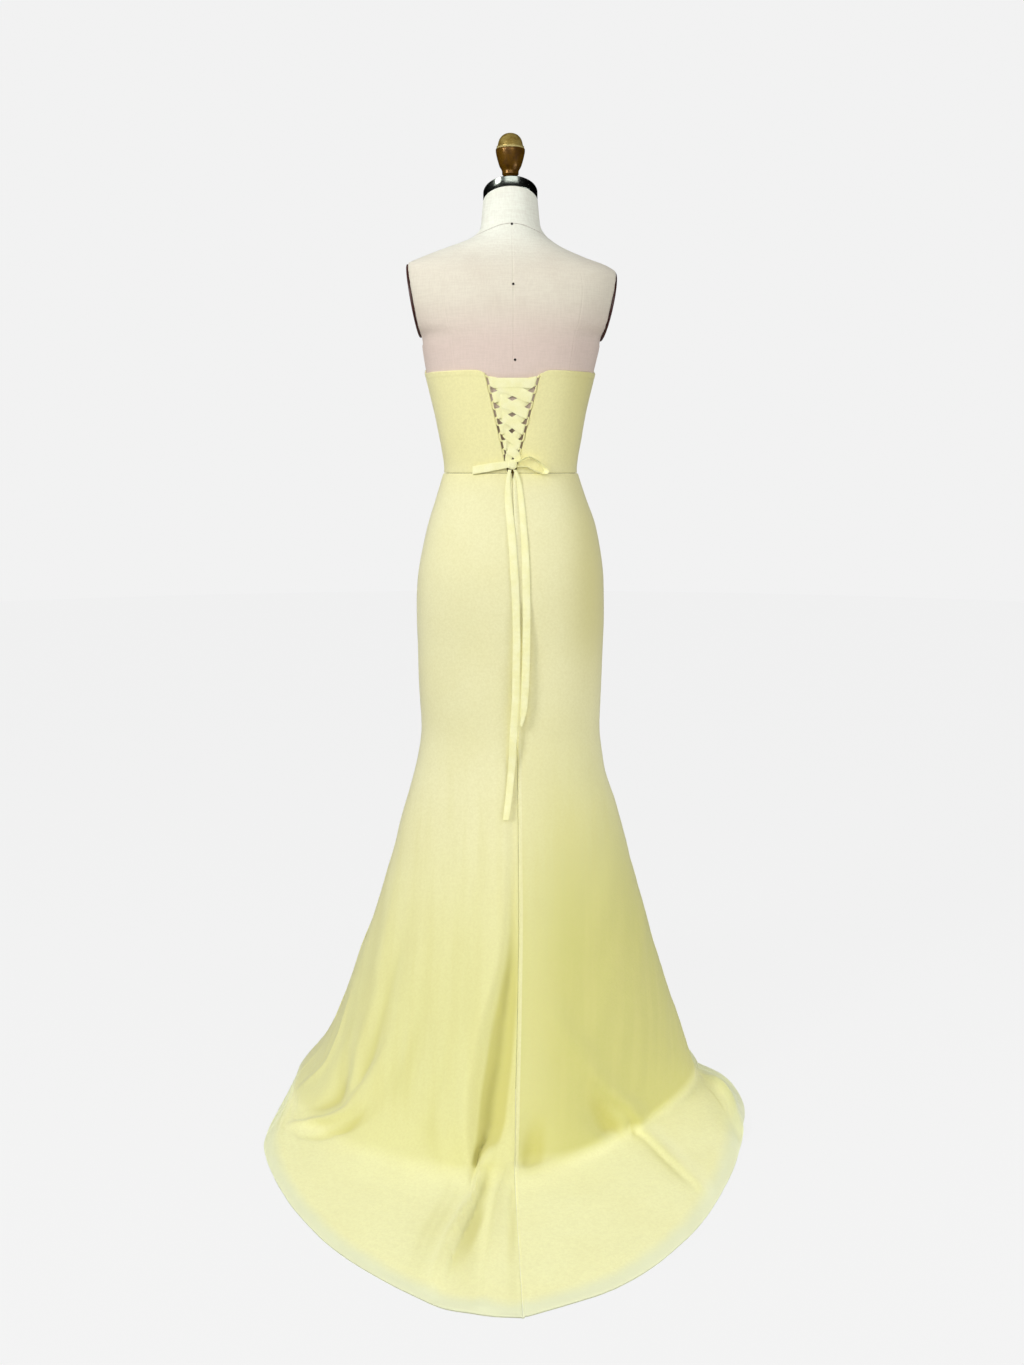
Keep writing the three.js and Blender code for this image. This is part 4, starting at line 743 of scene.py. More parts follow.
# ---------------------------------------------------------------- materials
SHADES = {
    # as on a screen, 0 to 255
    # painted shade: the crepe's lower left, lower right, right hip and hollow shades, and the linen's
    # under-lace, at-loops and low-in-V shades; painted light: the crepe's on-floor and beside-seam shades,
    # the linen's neck shade and the cap's edge
    "crepe": (244, 240, 192), "crepe_upper": (247, 241, 180), "crepe_painted_shade_lower_left": (233, 231, 164),
    "crepe_painted_shade_lower_right": (207, 205, 124), "crepe_painted_light_on_floor": (249, 248, 190),
    "crepe_painted_highlight_beside_seam": (250, 248, 206), "crepe_painted_shade_right_hip": (206, 196, 104),
    "crepe_streaks": (222, 216, 138), "crepe_painted_shade_in_hollows": (198, 192, 92), "crepe_patches": (226, 216, 140),
    "crepe_grain": (216, 208, 142), "crepe_hem": (232, 236, 200),
    "ribbon": (255, 253, 204), "ribbon_patches": (251, 248, 188), "ribbon_grain": (224, 216, 146),
    "linen_low": (229, 210, 199), "linen": (234, 227, 209), "linen_painted_light_neck": (248, 250, 236),
    "linen_painted_shade_under_lace": (70, 48, 30), "linen_weave": (190, 174, 156), "linen_patches": (196, 176, 158),
    "linen_seam": (132, 108, 88), "linen_painted_shade_at_loops": (126, 104, 34), "linen_painted_shade_low_in_v": (110, 88, 18),
    "plate": (74, 34, 30), "plate_dark": (56, 24, 22), "plate_worn": (112, 78, 66),
    "steel": (176, 182, 172), "steel_rubbed": (150, 158, 148),
    "bronze": (126, 88, 18), "bronze_dark": (90, 58, 8), "cap": (196, 172, 96),
    "cap_dark": (150, 122, 50), "cap_painted_highlight_edge": (240, 222, 150),
    "iron": (34, 34, 35), "iron_worn": (52, 51, 50), "pin": (40, 26, 20), "pin_dark": (22, 14, 12),
}


def linear(shade):
    """A shade as the shader takes it."""
    out = []
    for c in SHADES[shade]:
        c /= 255
        out.append(c / 12.92 if c <= 0.04045 else ((c + 0.055) / 1.055) ** 2.4)
    return (*out, 1.0)


class Look:
    """A material with a few short calls for its nodes. colour is its colour so far."""

    def __init__(self, name, colour, roughness, metallic=0.0, **shader):
        self.material = bpy.data.materials.new(name)
        self.material.use_nodes = True
        self.tree = self.material.node_tree
        self.shader = self.tree.nodes["Principled BSDF"]
        self.set(Roughness=roughness, Metallic=metallic, **shader)
        self.place = self.node("ShaderNodeTexCoord").outputs["Object"]
        self.colour = colour

    def put(self, socket, value):
        if isinstance(value, bpy.types.NodeSocket):
            self.tree.links.new(value, socket)
        else:
            socket.default_value = value

    def set(self, **inputs):
        for key, value in inputs.items():
            self.put(self.shader.inputs[key.replace("_", " ")], value)

    def node(self, kind, inputs=None, **settings):
        made = self.tree.nodes.new(kind)
        for key, value in settings.items():
            setattr(made, key, value)
        for key, value in (inputs or {}).items():
            self.put(made.inputs[key], value)
        return made

    def math(self, operation, a, b):
        return self.node("ShaderNodeMath", {0: a, 1: b}, operation=operation).outputs[0]

    def times(self, a, b):
        return self.math("MULTIPLY", a, b)

    def plus(self, a, b):
        return self.math("ADD", a, b)

    def ramp(self, value, low, high, to_low=0.0, to_high=1.0):
        """Goes softly from to_low to to_high while the value goes from low to high."""
        inputs = dict(enumerate((value, low, high, to_low, to_high)))
        return self.node("ShaderNodeMapRange", inputs, interpolation_type="SMOOTHSTEP").outputs[0]

    def mix(self, part, a, b):
        return self.node("ShaderNodeMix", {"Factor": part, 6: a, 7: b}, data_type="RGBA").outputs[2]

    def tint(self, part, shade):
        """Lays a shade over the colour so far."""
        self.colour = self.mix(part, self.colour, linear(shade))

    def noise(self, scale, detail=3.0, rough=0.5, place=None):
        inputs = {"Vector": place or self.place, "Scale": scale, "Detail": detail, "Roughness": rough}
        return self.node("ShaderNodeTexNoise", inputs).outputs["Fac"]

    def stretched(self, place, *scale):
        return self.node("ShaderNodeMapping", {"Vector": place, "Scale": scale}).outputs[0]

    def cloth(self):
        return self.node("ShaderNodeUVMap", uv_map="cloth").outputs[0]

    def weave(self, scale):
        """Threads both ways along the cloth."""
        inputs = {"Vector": self.cloth(), "Scale": scale, "Distortion": 0.6, "Detail": 1.0}
        return self.times(*(self.node("ShaderNodeTexWave", inputs, bands_direction=way).outputs["Fac"]
                            for way in "XY"))

    def axis(self, which):
        return self.node("ShaderNodeSeparateXYZ", {0: self.place}).outputs[which]

    def attribute(self, name):
        return self.node("ShaderNodeAttribute", attribute_name=name).outputs["Fac"]

    def finish(self, *layers):
        """The material, with bumps. Each layer is a height, a depth in metres and a strength."""
        normal = None
        for height, depth, strength in layers:
            made = self.node("ShaderNodeBump", {"Strength": strength, "Distance": depth, "Height": height})
            if normal is not None:
                self.put(made.inputs["Normal"], normal)
            normal = made.outputs[0]
        self.set(Base_Color=self.colour)
        if layers:
            self.set(Normal=normal)
        return self.material


def paint_crepe_light_and_shade(look, z):
    """Painted shade on the lower skirt's left and right and on the right hip, and a painted highlight on the
    turnings beside the back seam.
    """
    aside, behind = look.attribute("aside"), look.ramp(look.axis("Y"), 0.0, -0.10)
    # painted shade: the lower skirt darker towards the floor, most on the right half of the back
    left = look.mix(look.ramp(z, 0.54, 0.16), look.colour, linear("crepe_painted_shade_lower_left"))
    right = look.mix(look.ramp(z, 0.72, 0.24), look.colour, linear("crepe_painted_shade_lower_right"))
    shade_right_of_seam = look.times(look.ramp(aside, 0.0, 0.001, 0.0, 0.5), behind)
    look.colour = look.mix(look.plus(shade_right_of_seam, look.ramp(aside, 0.01, 0.09, 0.0, 0.5)), left, right)
    # painted highlight: a lighter band on the raised turning just right of the back seam
    seam_highlight = look.times(look.ramp(aside, 0.0002, 0.0008), look.ramp(aside, 0.0068, 0.0058, 0.0, 0.5))
    look.tint(look.times(seam_highlight, behind), "crepe_painted_highlight_beside_seam")
    # painted shade on the right hip and the right of the bodice
    right_hip_shade = look.times(look.ramp(look.axis("X"), 0.06, 0.14, 0.0, 0.5), look.ramp(z, 0.62, 0.80))
    look.tint(right_hip_shade, "crepe_painted_shade_right_hip")


def crepe_look():
    look = Look("crepe", linear("crepe"), 0.78, Sheen_Weight=0.35, Sheen_Roughness=0.5,
                Specular_IOR_Level=0.25)
    z = look.axis("Z")
    look.tint(look.ramp(z, 0.98, 1.06), "crepe_upper")
    paint_crepe_light_and_shade(look, z)
    # painted light: the cloth lying on the floor is lighter, as it faces the light from above
    look.tint(look.ramp(z, 0.024, 0.003), "crepe_painted_light_on_floor")
    streaks = look.noise(42.0, 3.0, 0.55, look.stretched(look.cloth(), 1.0, 0.07, 1.0))
    streaks = look.times(look.ramp(streaks, 0.40, 0.68), look.ramp(z, 0.66, 0.40, 0.0, 0.22))
    look.tint(look.times(streaks, look.ramp(z, 0.02, 0.08)), "crepe_streaks")
    # painted shade: darker, deeper yellow in the hollows of the folds
    look.tint(look.ramp(look.attribute("hollow"), 0.001, 0.014, 0.0, 0.6), "crepe_painted_shade_in_hollows")
    look.tint(look.ramp(look.noise(9.0), 0.35, 0.7, 0.0, 0.10), "crepe_patches")
    grain = look.noise(240.0, 4.0, 0.75)
    look.tint(look.ramp(grain, 0.32, 0.68, 0.24, 0.0), "crepe_grain")
    from_hem = look.plus(look.attribute("from_hem"),
                         look.ramp(look.noise(30.0), 0.3, 0.7, -0.0015, 0.0015))
    look.tint(look.ramp(from_hem, 0.042, 0.010, 0.0, 0.8), "crepe_hem")
    return look.finish((look.weave(330.0), 0.00025, 0.25), (grain, 0.0006, 0.35),
                       (look.noise(150.0), 0.0012, 0.25))


def ribbon_look():
    look = Look("ribbon", linear("ribbon"), 0.6, Sheen_Weight=0.3, Sheen_Roughness=0.4,
                Specular_IOR_Level=0.3)
    look.tint(look.ramp(look.noise(60.0), 0.3, 0.7), "ribbon_patches")
    grain = look.noise(700.0, 3.0, 0.6)
    look.tint(look.ramp(grain, 0.3, 0.7, 0.16, 0.0), "ribbon_grain")
    return look.finish((look.weave(420.0), 0.0002, 0.25), (grain, 0.0004, 0.3),
                       (look.noise(180.0, 2.0), 0.0012, 0.3))


def linen_look():
    look = Look("linen", linear("linen_low"), 0.85, Sheen_Weight=0.15, Specular_IOR_Level=0.2)
    z = look.axis("Z")
    # painted light: the cover lighter towards the neck, where the light from above falls
    look.tint(look.ramp(z, 1.22, 1.32), "linen")
    look.tint(look.ramp(z, 1.34, 1.43), "linen_painted_light_neck")
    # painted shade: the cover dark brown low down, under the lacing's foot and the knot
    look.tint(look.ramp(z, 1.056, 1.044), "linen_painted_shade_under_lace")
    weave = look.plus(look.noise(420.0, 3.0, 0.6, look.stretched(look.place, 1.0, 1.0, 0.12)),
                      look.noise(420.0, 3.0, 0.6, look.stretched(look.place, 0.12, 0.12, 1.0)))
    look.tint(look.ramp(weave, 0.75, 1.25, 0.16, 0.0), "linen_weave")
    look.tint(look.ramp(look.noise(12.0, 4.0), 0.45, 0.75, 0.0, 0.14), "linen_patches")
    look.tint(look.ramp(look.attribute("from_seam"), 0.0016, 0.0004, 0.0, 0.6), "linen_seam")
    # painted shade in the lacing's openings: a little just below the top run, deeper further down the V
    look.tint(look.ramp(z, 1.180, 1.176, 0.0, 0.15), "linen_painted_shade_at_loops")
    look.tint(look.ramp(z, 1.150, 1.090, 0.0, 0.6), "linen_painted_shade_low_in_v")
    return look.finish((weave, 0.0006, 0.4), (look.noise(60.0), 0.001, 0.12))


def plate_look():
    look = Look("plate_enamel", linear("plate"), 0.38, Coat_Weight=0.25)
    look.tint(look.ramp(look.noise(35.0, 4.0), 0.35, 0.7), "plate_dark")
    look.tint(look.ramp(look.noise(240.0, 4.0), 0.62, 0.75, 0.0, 0.5), "plate_worn")
    return look.finish((look.noise(300.0), 0.0004, 0.2))


def steel_look():
    look = Look("polished_steel", linear("steel"), 0.16, 1.0, Anisotropic=0.4)
    lines = look.noise(120.0, 4.0, 0.6, look.stretched(look.place, 1.0, 1.0, 14.0))
    look.tint(look.ramp(lines, 0.3, 0.7), "steel_rubbed")
    look.set(Roughness=look.ramp(lines, 0.2, 0.8, 0.12, 0.24))
    return look.finish((lines, 0.0002, 0.12))


def bronze_look():
    look = Look("aged_bronze", linear("bronze"), 0.36, 0.45, Specular_IOR_Level=0.5)
    z, wear = look.axis("Z"), look.noise(90.0, 5.0, 0.6)
    dark = look.ramp(wear, 0.35, 0.7)
    look.tint(dark, "bronze_dark")
    cap = look.mix(dark, linear("cap"), linear("cap_dark"))
    look.colour = look.mix(look.ramp(z, CAP_Z - 0.001, CAP_Z), look.colour, cap)
    # painted highlight: a bright band round the cap's rim
    edge = look.times(look.ramp(z, CAP_Z - 0.0016, CAP_Z - 0.0006),
                      look.ramp(z, CAP_Z + 0.0022, CAP_Z + 0.0012))
    look.tint(edge, "cap_painted_highlight_edge")
    look.set(Roughness=look.ramp(wear, 0.3, 0.75, 0.24, 0.42))
    return look.finish((look.noise(260.0, 4.0), 0.0004, 0.25))


def iron_look():
    look = Look("painted_iron", linear("iron"), 0.5, 0.1, Coat_Weight=0.1)
    cast = look.noise(320.0, 5.0, 0.6)
    look.tint(look.ramp(cast, 0.4, 0.7), "iron_worn")
    return look.finish((cast, 0.0008, 0.4))


def pin_look():
    look = Look("pin_steel", linear("pin"), 0.4, 0.3)
    look.tint(look.noise(900.0), "pin_dark")
    return look.finish()


CREPE, RIBBON, LINEN = crepe_look(), ribbon_look(), linen_look()
PLATE, STEEL, BRONZE, IRON, PIN = plate_look(), steel_look(), bronze_look(), iron_look(), pin_look()


# ---------------------------------------------------------------- dress
def add_cloths(held, *cuts):
    """The dress's panels: each one's node, grids, flat size in metres and area; the flat size and area are
    not used.
    """
    for node, panel, flat, area in cuts:
        piece = stand_for(wall(node + "_cloth", panel, CREPE), node)


def add_skirt():
    left = skirt_panel(-1, 0, 140, 0.25, 0.1, 0)
    right = skirt_panel(0, 1, 140, 0.9, 0.25, 0)
    front = skirt_panel(1, 3, 150, 0.25, 0.25, 2)
    add_cloths("hung", ("skirt_back_left", left, (0.66, 1.56), 0.445),
               ("skirt_back_right", right, (0.64, 1.56), 0.425),
               ("skirt_front", front, (0.96, 1.32), 0.657))
    return left, right


def bodice_top(across):
    table = np.asarray(TOP_EDGE)
    return smooth(table[:, 0], table[:, 1], np.abs((across + 2) % 4 - 2))


BODICE_T = np.concatenate([[0, 0.004, 0.010], np.linspace(0.02, 0.94, 60),
                           np.linspace(0.947, 0.995, 14), [0.9975, 0.999, 1.0]])
DROOP, DROOP_REACH = 4.0, 9.0  # how far the top corners by the lacing drop


def bodice_relief(u, z, from_top, from_bottom, from_sides):
    """Ripples, the turned top edge, and the ridges and grooves of the seams."""
    relief = 0.12 * ripples(u, z, seed=31, count=14, longest=90, shortest=30)
    relief += 0.05 * ripples(u, z, seed=37, count=16, longest=30, shortest=12)
    relief += step(0.35, from_top, 9, 0.7) - 0.25 * bump(from_top, 9.5, 0.9)
    relief -= 0.9 * bump(from_top, 0, 0.8) + 0.9 * bump(from_bottom, 0, 1.2)
    for distance in from_sides:
        relief += 0.25 * bump(distance, 3.2, 2.0) - 0.9 * bump(distance, 0, 0.8)
    return relief


def bodice_panel(low_at, high_at, count, laced=0):
    """A panel of the bodice. laced is -1 or 1 for a back panel, by its side of the lacing."""
    bottom = WAIST_Z + SEAM_HALF
    guess = bottom + BODICE_T[:, None] * (bodice_top(0.3) - bottom)
    low, high, back_length = low_at(guess), high_at(guess), form_length("back_left", guess)
    length = np.where(np.abs(low) < 1, back_length, form_length("front_right", guess))
    across = spread_columns(low, high, count, (length, length))
    top = bodice_top(across)
    u = across * back_length
    if laced:
        from_v = np.abs(across) * length - gap_at(laced, guess)
        top = top - DROOP * np.exp(-((from_v / DROOP_REACH) ** 2))
    z = bottom + BODICE_T[:, None] * (top - bottom)
    from_sides = ((across - low) * length, (high - across) * length)
    relief = bodice_relief(u, z, top - z, z - bottom, from_sides)
    outer = off_form(across, z, BODICE_OUTSIDE + relief)
    inner = off_form(across, z, np.full(z.shape, BODICE_INSIDE))
    outer[..., 2], inner[..., 2] = z, z
    return {"outer": outer[::-1], "inner": inner[::-1], "u": u[::-1], "v": -z[::-1],
            "from_hem": np.full(z.shape, 500.0), "hollow": np.zeros(z.shape), "aside": np.zeros(z.shape)}


def gap_at(side, z):
    """Half the gap at the lacing."""
    bottom, top = V_HALF_GAP[side]
    return bottom + (z - V_BOTTOM_Z) * (top - bottom) / (V_TOP_Z - V_BOTTOM_Z)


def add_bodice():
    def at(place):
        return lambda z: place + 0 * z

    def v_edge(side):
        name = "back_left" if side < 0 else "back_right"
        return lambda z: side * gap_at(side, z) / form_length(name, z)

    add_cloths("stretched",
               ("bodice_back_left", bodice_panel(at(-1), v_edge(-1), 70, -1), (0.165, 0.165), 0.0245),
               ("bodice_back_right", bodice_panel(v_edge(1), at(1), 70, 1), (0.165, 0.165), 0.0245),
               ("bodice_front", bodice_panel(at(1), at(3), 150), (0.43, 0.215), 0.0755))


# ---------------------------------------------------------------- lacing
def loop_z(k):
    return LOOP_TOP - k * LOOP_PITCH


def add_loops(side, node):
    """One cord down the lacing's edge, out and back for each loop."""
    def foot(z):
        return side * (gap_at(side, z) - LOOP_FOOT)

    def tip(z):
        return side * (gap_at(side, z) - LOOP_REACH)

    start, end = loop_z(0) + 10.5, loop_z(LOOP_COUNT - 1) - 15
    flat = [(foot(start), start)]
    for k in range(LOOP_COUNT):
        z, half, between = loop_z(k), LOOP_HALF, (foot(loop_z(k)) + tip(loop_z(k))) / 2
        flat += [(foot(z + half + 1.6), z + half + 1.6), (between, z + half),
                 (tip(z + half - 2.2), z + half - 2.2), (tip(z), z),
                 (tip(z - half + 2.2), z - half + 2.2), (between, z - half),
                 (foot(z - half - 1.6), z - half - 1.6)]
    flat.append((foot(end), end))
    line = refined(flat, 6)
    path, sides = on_back(line[:, 0], line[:, 1], LOOP_DEPTH), 12
    piece = tube(node + "_cord", path, LOOP_RADIUS, sides, CREPE,
                 {"from_hem": np.full(len(path) * sides, 0.5)})
    stand_for(piece, node)


def lace_half(z):
    """Half the lace's width, which is wider where it is spread at the top."""
    return np.interp(z, [1068, 1146], [LACE_LOW_HALF, LACE_HALF])


def pinched_half(z):
    return min(LACE_PINCHED, lace_half(z) - 0.6)


def lace_turn(side, k):
    """The lace's turn through a loop, from the front of it to behind."""
    bottom, top = V_HALF_GAP[side]
    slope = (top - bottom) / (V_TOP_Z - V_BOTTOM_Z)
    z = loop_z(k)
    rod = side * (gap_at(side, z) - LOOP_REACH)
    radius = LOOP_RADIUS + LACE_CLEAR + LACE_THICK / 2
    rows = []
    for i in range(5):
        a = math.pi / 2 - math.pi * i / 4
        rows.append((rod + side * radius * math.cos(a), z, LOOP_DEPTH + radius * math.sin(a),
                     pinched_half(z), side * slope))
    return rows


# Part of the way, how far from behind (0) to in front (2), and how widely the lace is spread.
RUN_SHAPE = [(0.07, 0, 0.6), (0.17, 0.75, 1.7), (0.3, 1, 1.3), (0.5, 1, 0.9), (0.7, 1, 1.3),
             (0.83, 1.3, 1.7), (0.93, 2, 0.6)]


def lace_run(start, end, crossing):
    """From behind one loop to the front of the next one opposite."""
    rows = []
    for t, d, full in RUN_SHAPE:
        depth = np.interp(d, [0, 1, 2], [LACE_BEHIND, crossing, LACE_FRONT])
        x, z = start[0] + t * (end[0] - start[0]), start[1] + t * (end[1] - start[1])
        narrow = pinched_half(z)
        rows.append((x, z, depth, narrow + full * (lace_half(z) - narrow), 0.0))
    return rows


def lace_strand(side):
    """One end of the lace, from its top loop to the knot."""
    rows = []
    for k in range(LOOP_COUNT):
        turn = lace_turn(side, k)
        rows += turn
        if k == LOOP_COUNT - 1:
            break
        rows += lace_run(turn[4], lace_turn(-side, k + 1)[0], LACE_OVER if side < 0 else LACE_UNDER)
        side = -side
    x, z, depth = rows[-1][:3]
    out = LACE_OVER if side < 0 else LACE_UNDER
    end_x, end_z = -side * STRAND_END_X, KNOT_Z + KNOT_HALF_HEIGHT + 4.5
    rows += [(x + 0.25 * (end_x - x), z - 3.5, 0.5 * depth + 0.5 * out, 7.0, -0.45 * side),
             (x + 0.6 * (end_x - x), z - 10.5, out, 4.8, -1.3 * side),
             (end_x, end_z, out, 2.7, -1.9 * side),
             (end_x - 1.2 * side, end_z - 9.0, out, 1.8, -2.8 * side)]
    return rows


def ribbon_on_back(name, node, rows, thick):
    """A ribbon from rows of x, height, depth off the form, half-width and lean."""
    x, z, depth, half, lean = refined(rows, 4).T
    piece = ribbon(name, on_back(x + lean * half, z + half, depth), on_back(x - lean * half, z - half, depth),
                   thick)
    stand_for(piece, node)


def add_lace():
    left, right = lace_strand(-1), lace_strand(1)
    top = []
    for t in (0.07, 0.2, 0.4, 0.6, 0.8, 0.93):
        half = LACE_PINCHED if t < 0.1 or t > 0.9 else TOP_RUN_HALF
        top.append((left[0][0] + t * (right[0][0] - left[0][0]), TOP_RUN_Z, LACE_FRONT, half, 0))
    ribbon_on_back("lace_ribbon", "lace", left[::-1] + top + right, LACE_THICK)


# ---------------------------------------------------------------- bow
def add_knot():
    rings, steps, b = [], 14, turns(48)
    for i in range(steps + 1):
        a = math.pi * (i + 0.35) / (steps + 0.7)
        depth = (KNOT_FROM + KNOT_TO) / 2 - math.cos(a) * (KNOT_TO - KNOT_FROM) / 2
        size = math.sin(a) ** 0.6 * (1 + 0.035 * np.cos(5 * b + 2.0 * i / steps))
        x = KNOT_X + np.sign(np.cos(b)) * np.abs(np.cos(b)) ** 0.8 * KNOT_HALF_WIDTH * size
        z = KNOT_Z + np.sign(np.sin(b)) * np.abs(np.sin(b)) ** 0.8 * KNOT_HALF_HEIGHT * size
        crease = 0.5 * np.exp(-(((x - KNOT_X - 0.25 * (z - KNOT_Z)) / 1.4) ** 2)) * (depth > 8)
        rings.append(on_back(x, z, depth - crease))
    rings = np.array(rings)
    uv = np.stack([rings[..., 0], rings[..., 2]], -1).reshape(-1, 2)
    stand_for(loft("bow_knot_cloth", rings, RIBBON, uv=uv, sharp=80), "bow_knot")


def add_bow_left():
    """Flat: out behind, round, and back in front."""
    near, far, (back, front) = BOW_LEFT_NEAR, BOW_LEFT_FAR, BOW_LEFT_DEPTHS

    def run(t, depth):
        return (near[0] + t * (far[0] - near[0]), near[1] + t * (far[1] - near[1]), depth,
                near[2] + min(1, t * 1.6) * (far[2] - near[2]), 0.0)

    rows = [run(i / 5, back) for i in range(6)]
    radius = (front - back) / 2
    for i in (1, 2, 3):
        a = -math.pi / 2 + math.pi * i / 4
        rows.append((far[0] - radius * math.cos(a), far[1], (front + back) / 2 + radius * math.sin(a),
                     far[2], 0.0))
    rows += [run(i / 5, front) for i in range(5, -1, -1)]
    ribbon_on_back("bow_loop_left_ribbon", "bow_loop_left", rows, TAIL_THICK)


def add_bow_right():
    """Open towards the back, and smaller at its inner edge."""
    x, z = refined(BOW_RIGHT, 8).T
    middle_x, middle_z = BOW_RIGHT_MIDDLE
    inner_x = np.maximum(middle_x + BOW_RIGHT_INNER * (x - middle_x), BOW_RIGHT[0][0])
    inner_z = middle_z + BOW_RIGHT_INNER * (z - middle_z)
    inner, outer = BOW_RIGHT_DEPTHS
    piece = ribbon("bow_loop_right_ribbon", on_back(inner_x, inner_z, inner), on_back(x, z, outer),
                   TAIL_THICK)
    stand_for(piece, "bow_loop_right")


def back_reader(left, right):
    """Reads the skirt's outside at the back by x and height."""
    outer = np.concatenate([left["outer"], right["outer"]], 1)
    heights = outer[:, outer.shape[1] // 2, 2][::-1]
    rows = np.arange(len(heights))[::-1]

    def read_y(x, z):
        r = np.interp(z, heights, rows)
        low = min(int(r), len(heights) - 2)
        ys = [np.interp(x, outer[k, :, 0], outer[k, :, 1]) for k in (low, low + 1)]
        return ys[0] + (r - low) * (ys[1] - ys[0])

    return read_y


def add_tail(node, table, back_y, crimp_from):
    """A tail hangs straight down from the fullest place that it passes."""
    top, bottom = table[0][0], table[-1][0]
    a, b, hanging = [], [], 0.0
    for z in np.linspace(top, bottom, int((top - bottom) / 1.8)):
        x, width, off = (float(v) for v in read(table, z))
        reach = [back_y(x + k * width, z) - off for k in (-0.5, -0.25, 0, 0.25, 0.5)]
        hanging = min(hanging, *reach)
        crimp = 0.4 * math.exp(-((((z - crimp_from) % CRIMP_PITCH) - CRIMP_PITCH / 2) / 1.6) ** 2)
        crimp += 0.25 * math.sin(z / 9.0) + 0.25
        a.append((x - width / 2, hanging - crimp, z))
        b.append((x + width / 2, hanging - crimp - 0.2 * math.sin(z / 23.0), z))
    a, b = np.array(a), np.array(b)
    piece = stand_for(ribbon(node + "_ribbon", a, b, TAIL_THICK, 0.35), node)


# ---------------------------------------------------------------- dress form
def arm_plane(side):
    """An arm plate's middle, its three directions and half its height."""
    (top_x, top_z), (bottom_x, bottom_z) = ARM_PLATES[side]
    rise = np.array([top_x - bottom_x, 0, top_z - bottom_z])
    half_height = np.linalg.norm(rise) / 2
    rise = unit(rise)
    turn = math.radians(ARM_TURN)
    facing = unit(np.cross(np.array([-side * math.sin(turn), math.cos(turn), 0]), rise))
    if facing[0] * side < 0:
        facing = -facing
    middle = np.array([(top_x + bottom_x) / 2, -4, (top_z + bottom_z) / 2])
    return middle, facing, rise, unit(np.cross(facing, rise)), half_height


def cut_at_arms(points):
    """Brings the shoulders in to the arm plates."""
    for side in (-1, 1):
        middle, facing, *_ = arm_plane(side)
        past = (points - (middle - facing * (ARM_THICK + 0.6))) @ facing
        hit = (past > 0) & (points[..., 2] >= ARM_CUT_FROM) & (points[..., 0] * facing[0] > 0)
        points[..., 0] = np.where(hit, points[..., 0] - past / facing[0], points[..., 0])
    return points


def neck_ring(half_width, half_depth, z, tilt, across):
    """A ring round the neck, higher at the back by its tilt in degrees."""
    slope = math.radians(tilt)
    a = across * math.pi / 2
    y = -half_depth * np.cos(a)
    return np.stack([half_width * np.sin(a), NECK_TOP_Y + y * math.cos(slope), z - y * math.sin(slope)], -1)


FORM_SEAMS = np.linspace(-2, 1.5, 8)
QUARTER = 230  # a quarter of the form's girth, about


def form_columns():
    """Places round the form, close together at its seams."""
    steps = np.array([-5, -3, -1.8, -1, -0.5, 0, 0.5, 1, 1.8, 3, 5]) / QUARTER
    near = (FORM_SEAMS[:, None] + steps[None, :]).ravel()
    even = np.linspace(-2, 2, 161)[:-1]
    far = even[np.abs((even[:, None] - FORM_SEAMS + 2) % 4 - 2).min(1) > 0.026]
    return np.unique(np.round(np.concatenate([near, far]), 6))


def form_relief(across, zs):
    """The form's seams and ripples, and how far each place is from a seam."""
    u, v = across[None, :] * QUARTER, zs[:, None]
    relief, from_seam = np.zeros((len(zs), len(across))), np.full((len(zs), len(across)), 100.0)
    for seam in (*FORM_SEAMS, 2):
        distance = (across[None, :] - seam) * QUARTER
        from_seam = np.minimum(from_seam, np.abs(distance) + (1.5 if seam else 1.15))
        relief += 0.2 * bump(np.abs(distance), 2.4, 1.6) - (0.15 if seam else 0.35) * bump(distance, 0, 0.7)
    places, heights = np.array(NECK_SEAM).T
    seam_z = smooth(places, heights, np.abs(across))[None, :]
    relief += 0.35 * bump(v - seam_z, -2.6, 2.0) - 0.8 * bump(v - seam_z, 0, 1.3)
    relief += 0.10 * ripples(u, v, seed=41, count=14, longest=120, shortest=40)
    relief[zs < 1190] = 0.0  # plain under the dress
    return relief, np.minimum(from_seam, np.abs(v - seam_z) + 0.3)


def add_form():
    across = form_columns()
    zs = np.unique(np.concatenate([np.arange(745, 1430.1, 4.0), [1235.9, 1236.1, 1430],
                                   np.arange(1396, 1430, 1.5)]))
    points = form_point(across[None, :] + 0 * zs[:, None], zs[:, None] + 0 * across[None, :])
    normal = grid_normal(points[::-1])[::-1]
    relief, from_seam = form_relief(across, zs)
    points = cut_at_arms(points + normal * relief[..., None])
    points[..., 2] = zs[:, None]
    top = neck_ring(45.0, 46.0, NECK_TOP_Z, NECK_TILT, across)
    risers = [points[-1] + t * (top - points[-1]) for t in np.linspace(0, 1, 13)[1:]]
    rings = np.concatenate([points, np.array(risers)])
    from_seam = np.concatenate([from_seam, np.full((len(risers), len(across)), 100.0)])
    piece = loft("form_cover", rings, LINEN, sharp=60, values={"from_seam": from_seam.ravel() * MM})
    stand_for(piece, "form_torso")


# Arm plate: out from its face, and size.
PLATE_PROFILE = [(-4.0, 0.955), (-3.9, 0.975), (-3.5, 0.993), (-3.0, 1.0), (-1.0, 1.0), (-0.5, 0.993),
                 (-0.1, 0.975), (0.0, 0.955), (-0.35, 0.90), (-0.4, 0.5)]


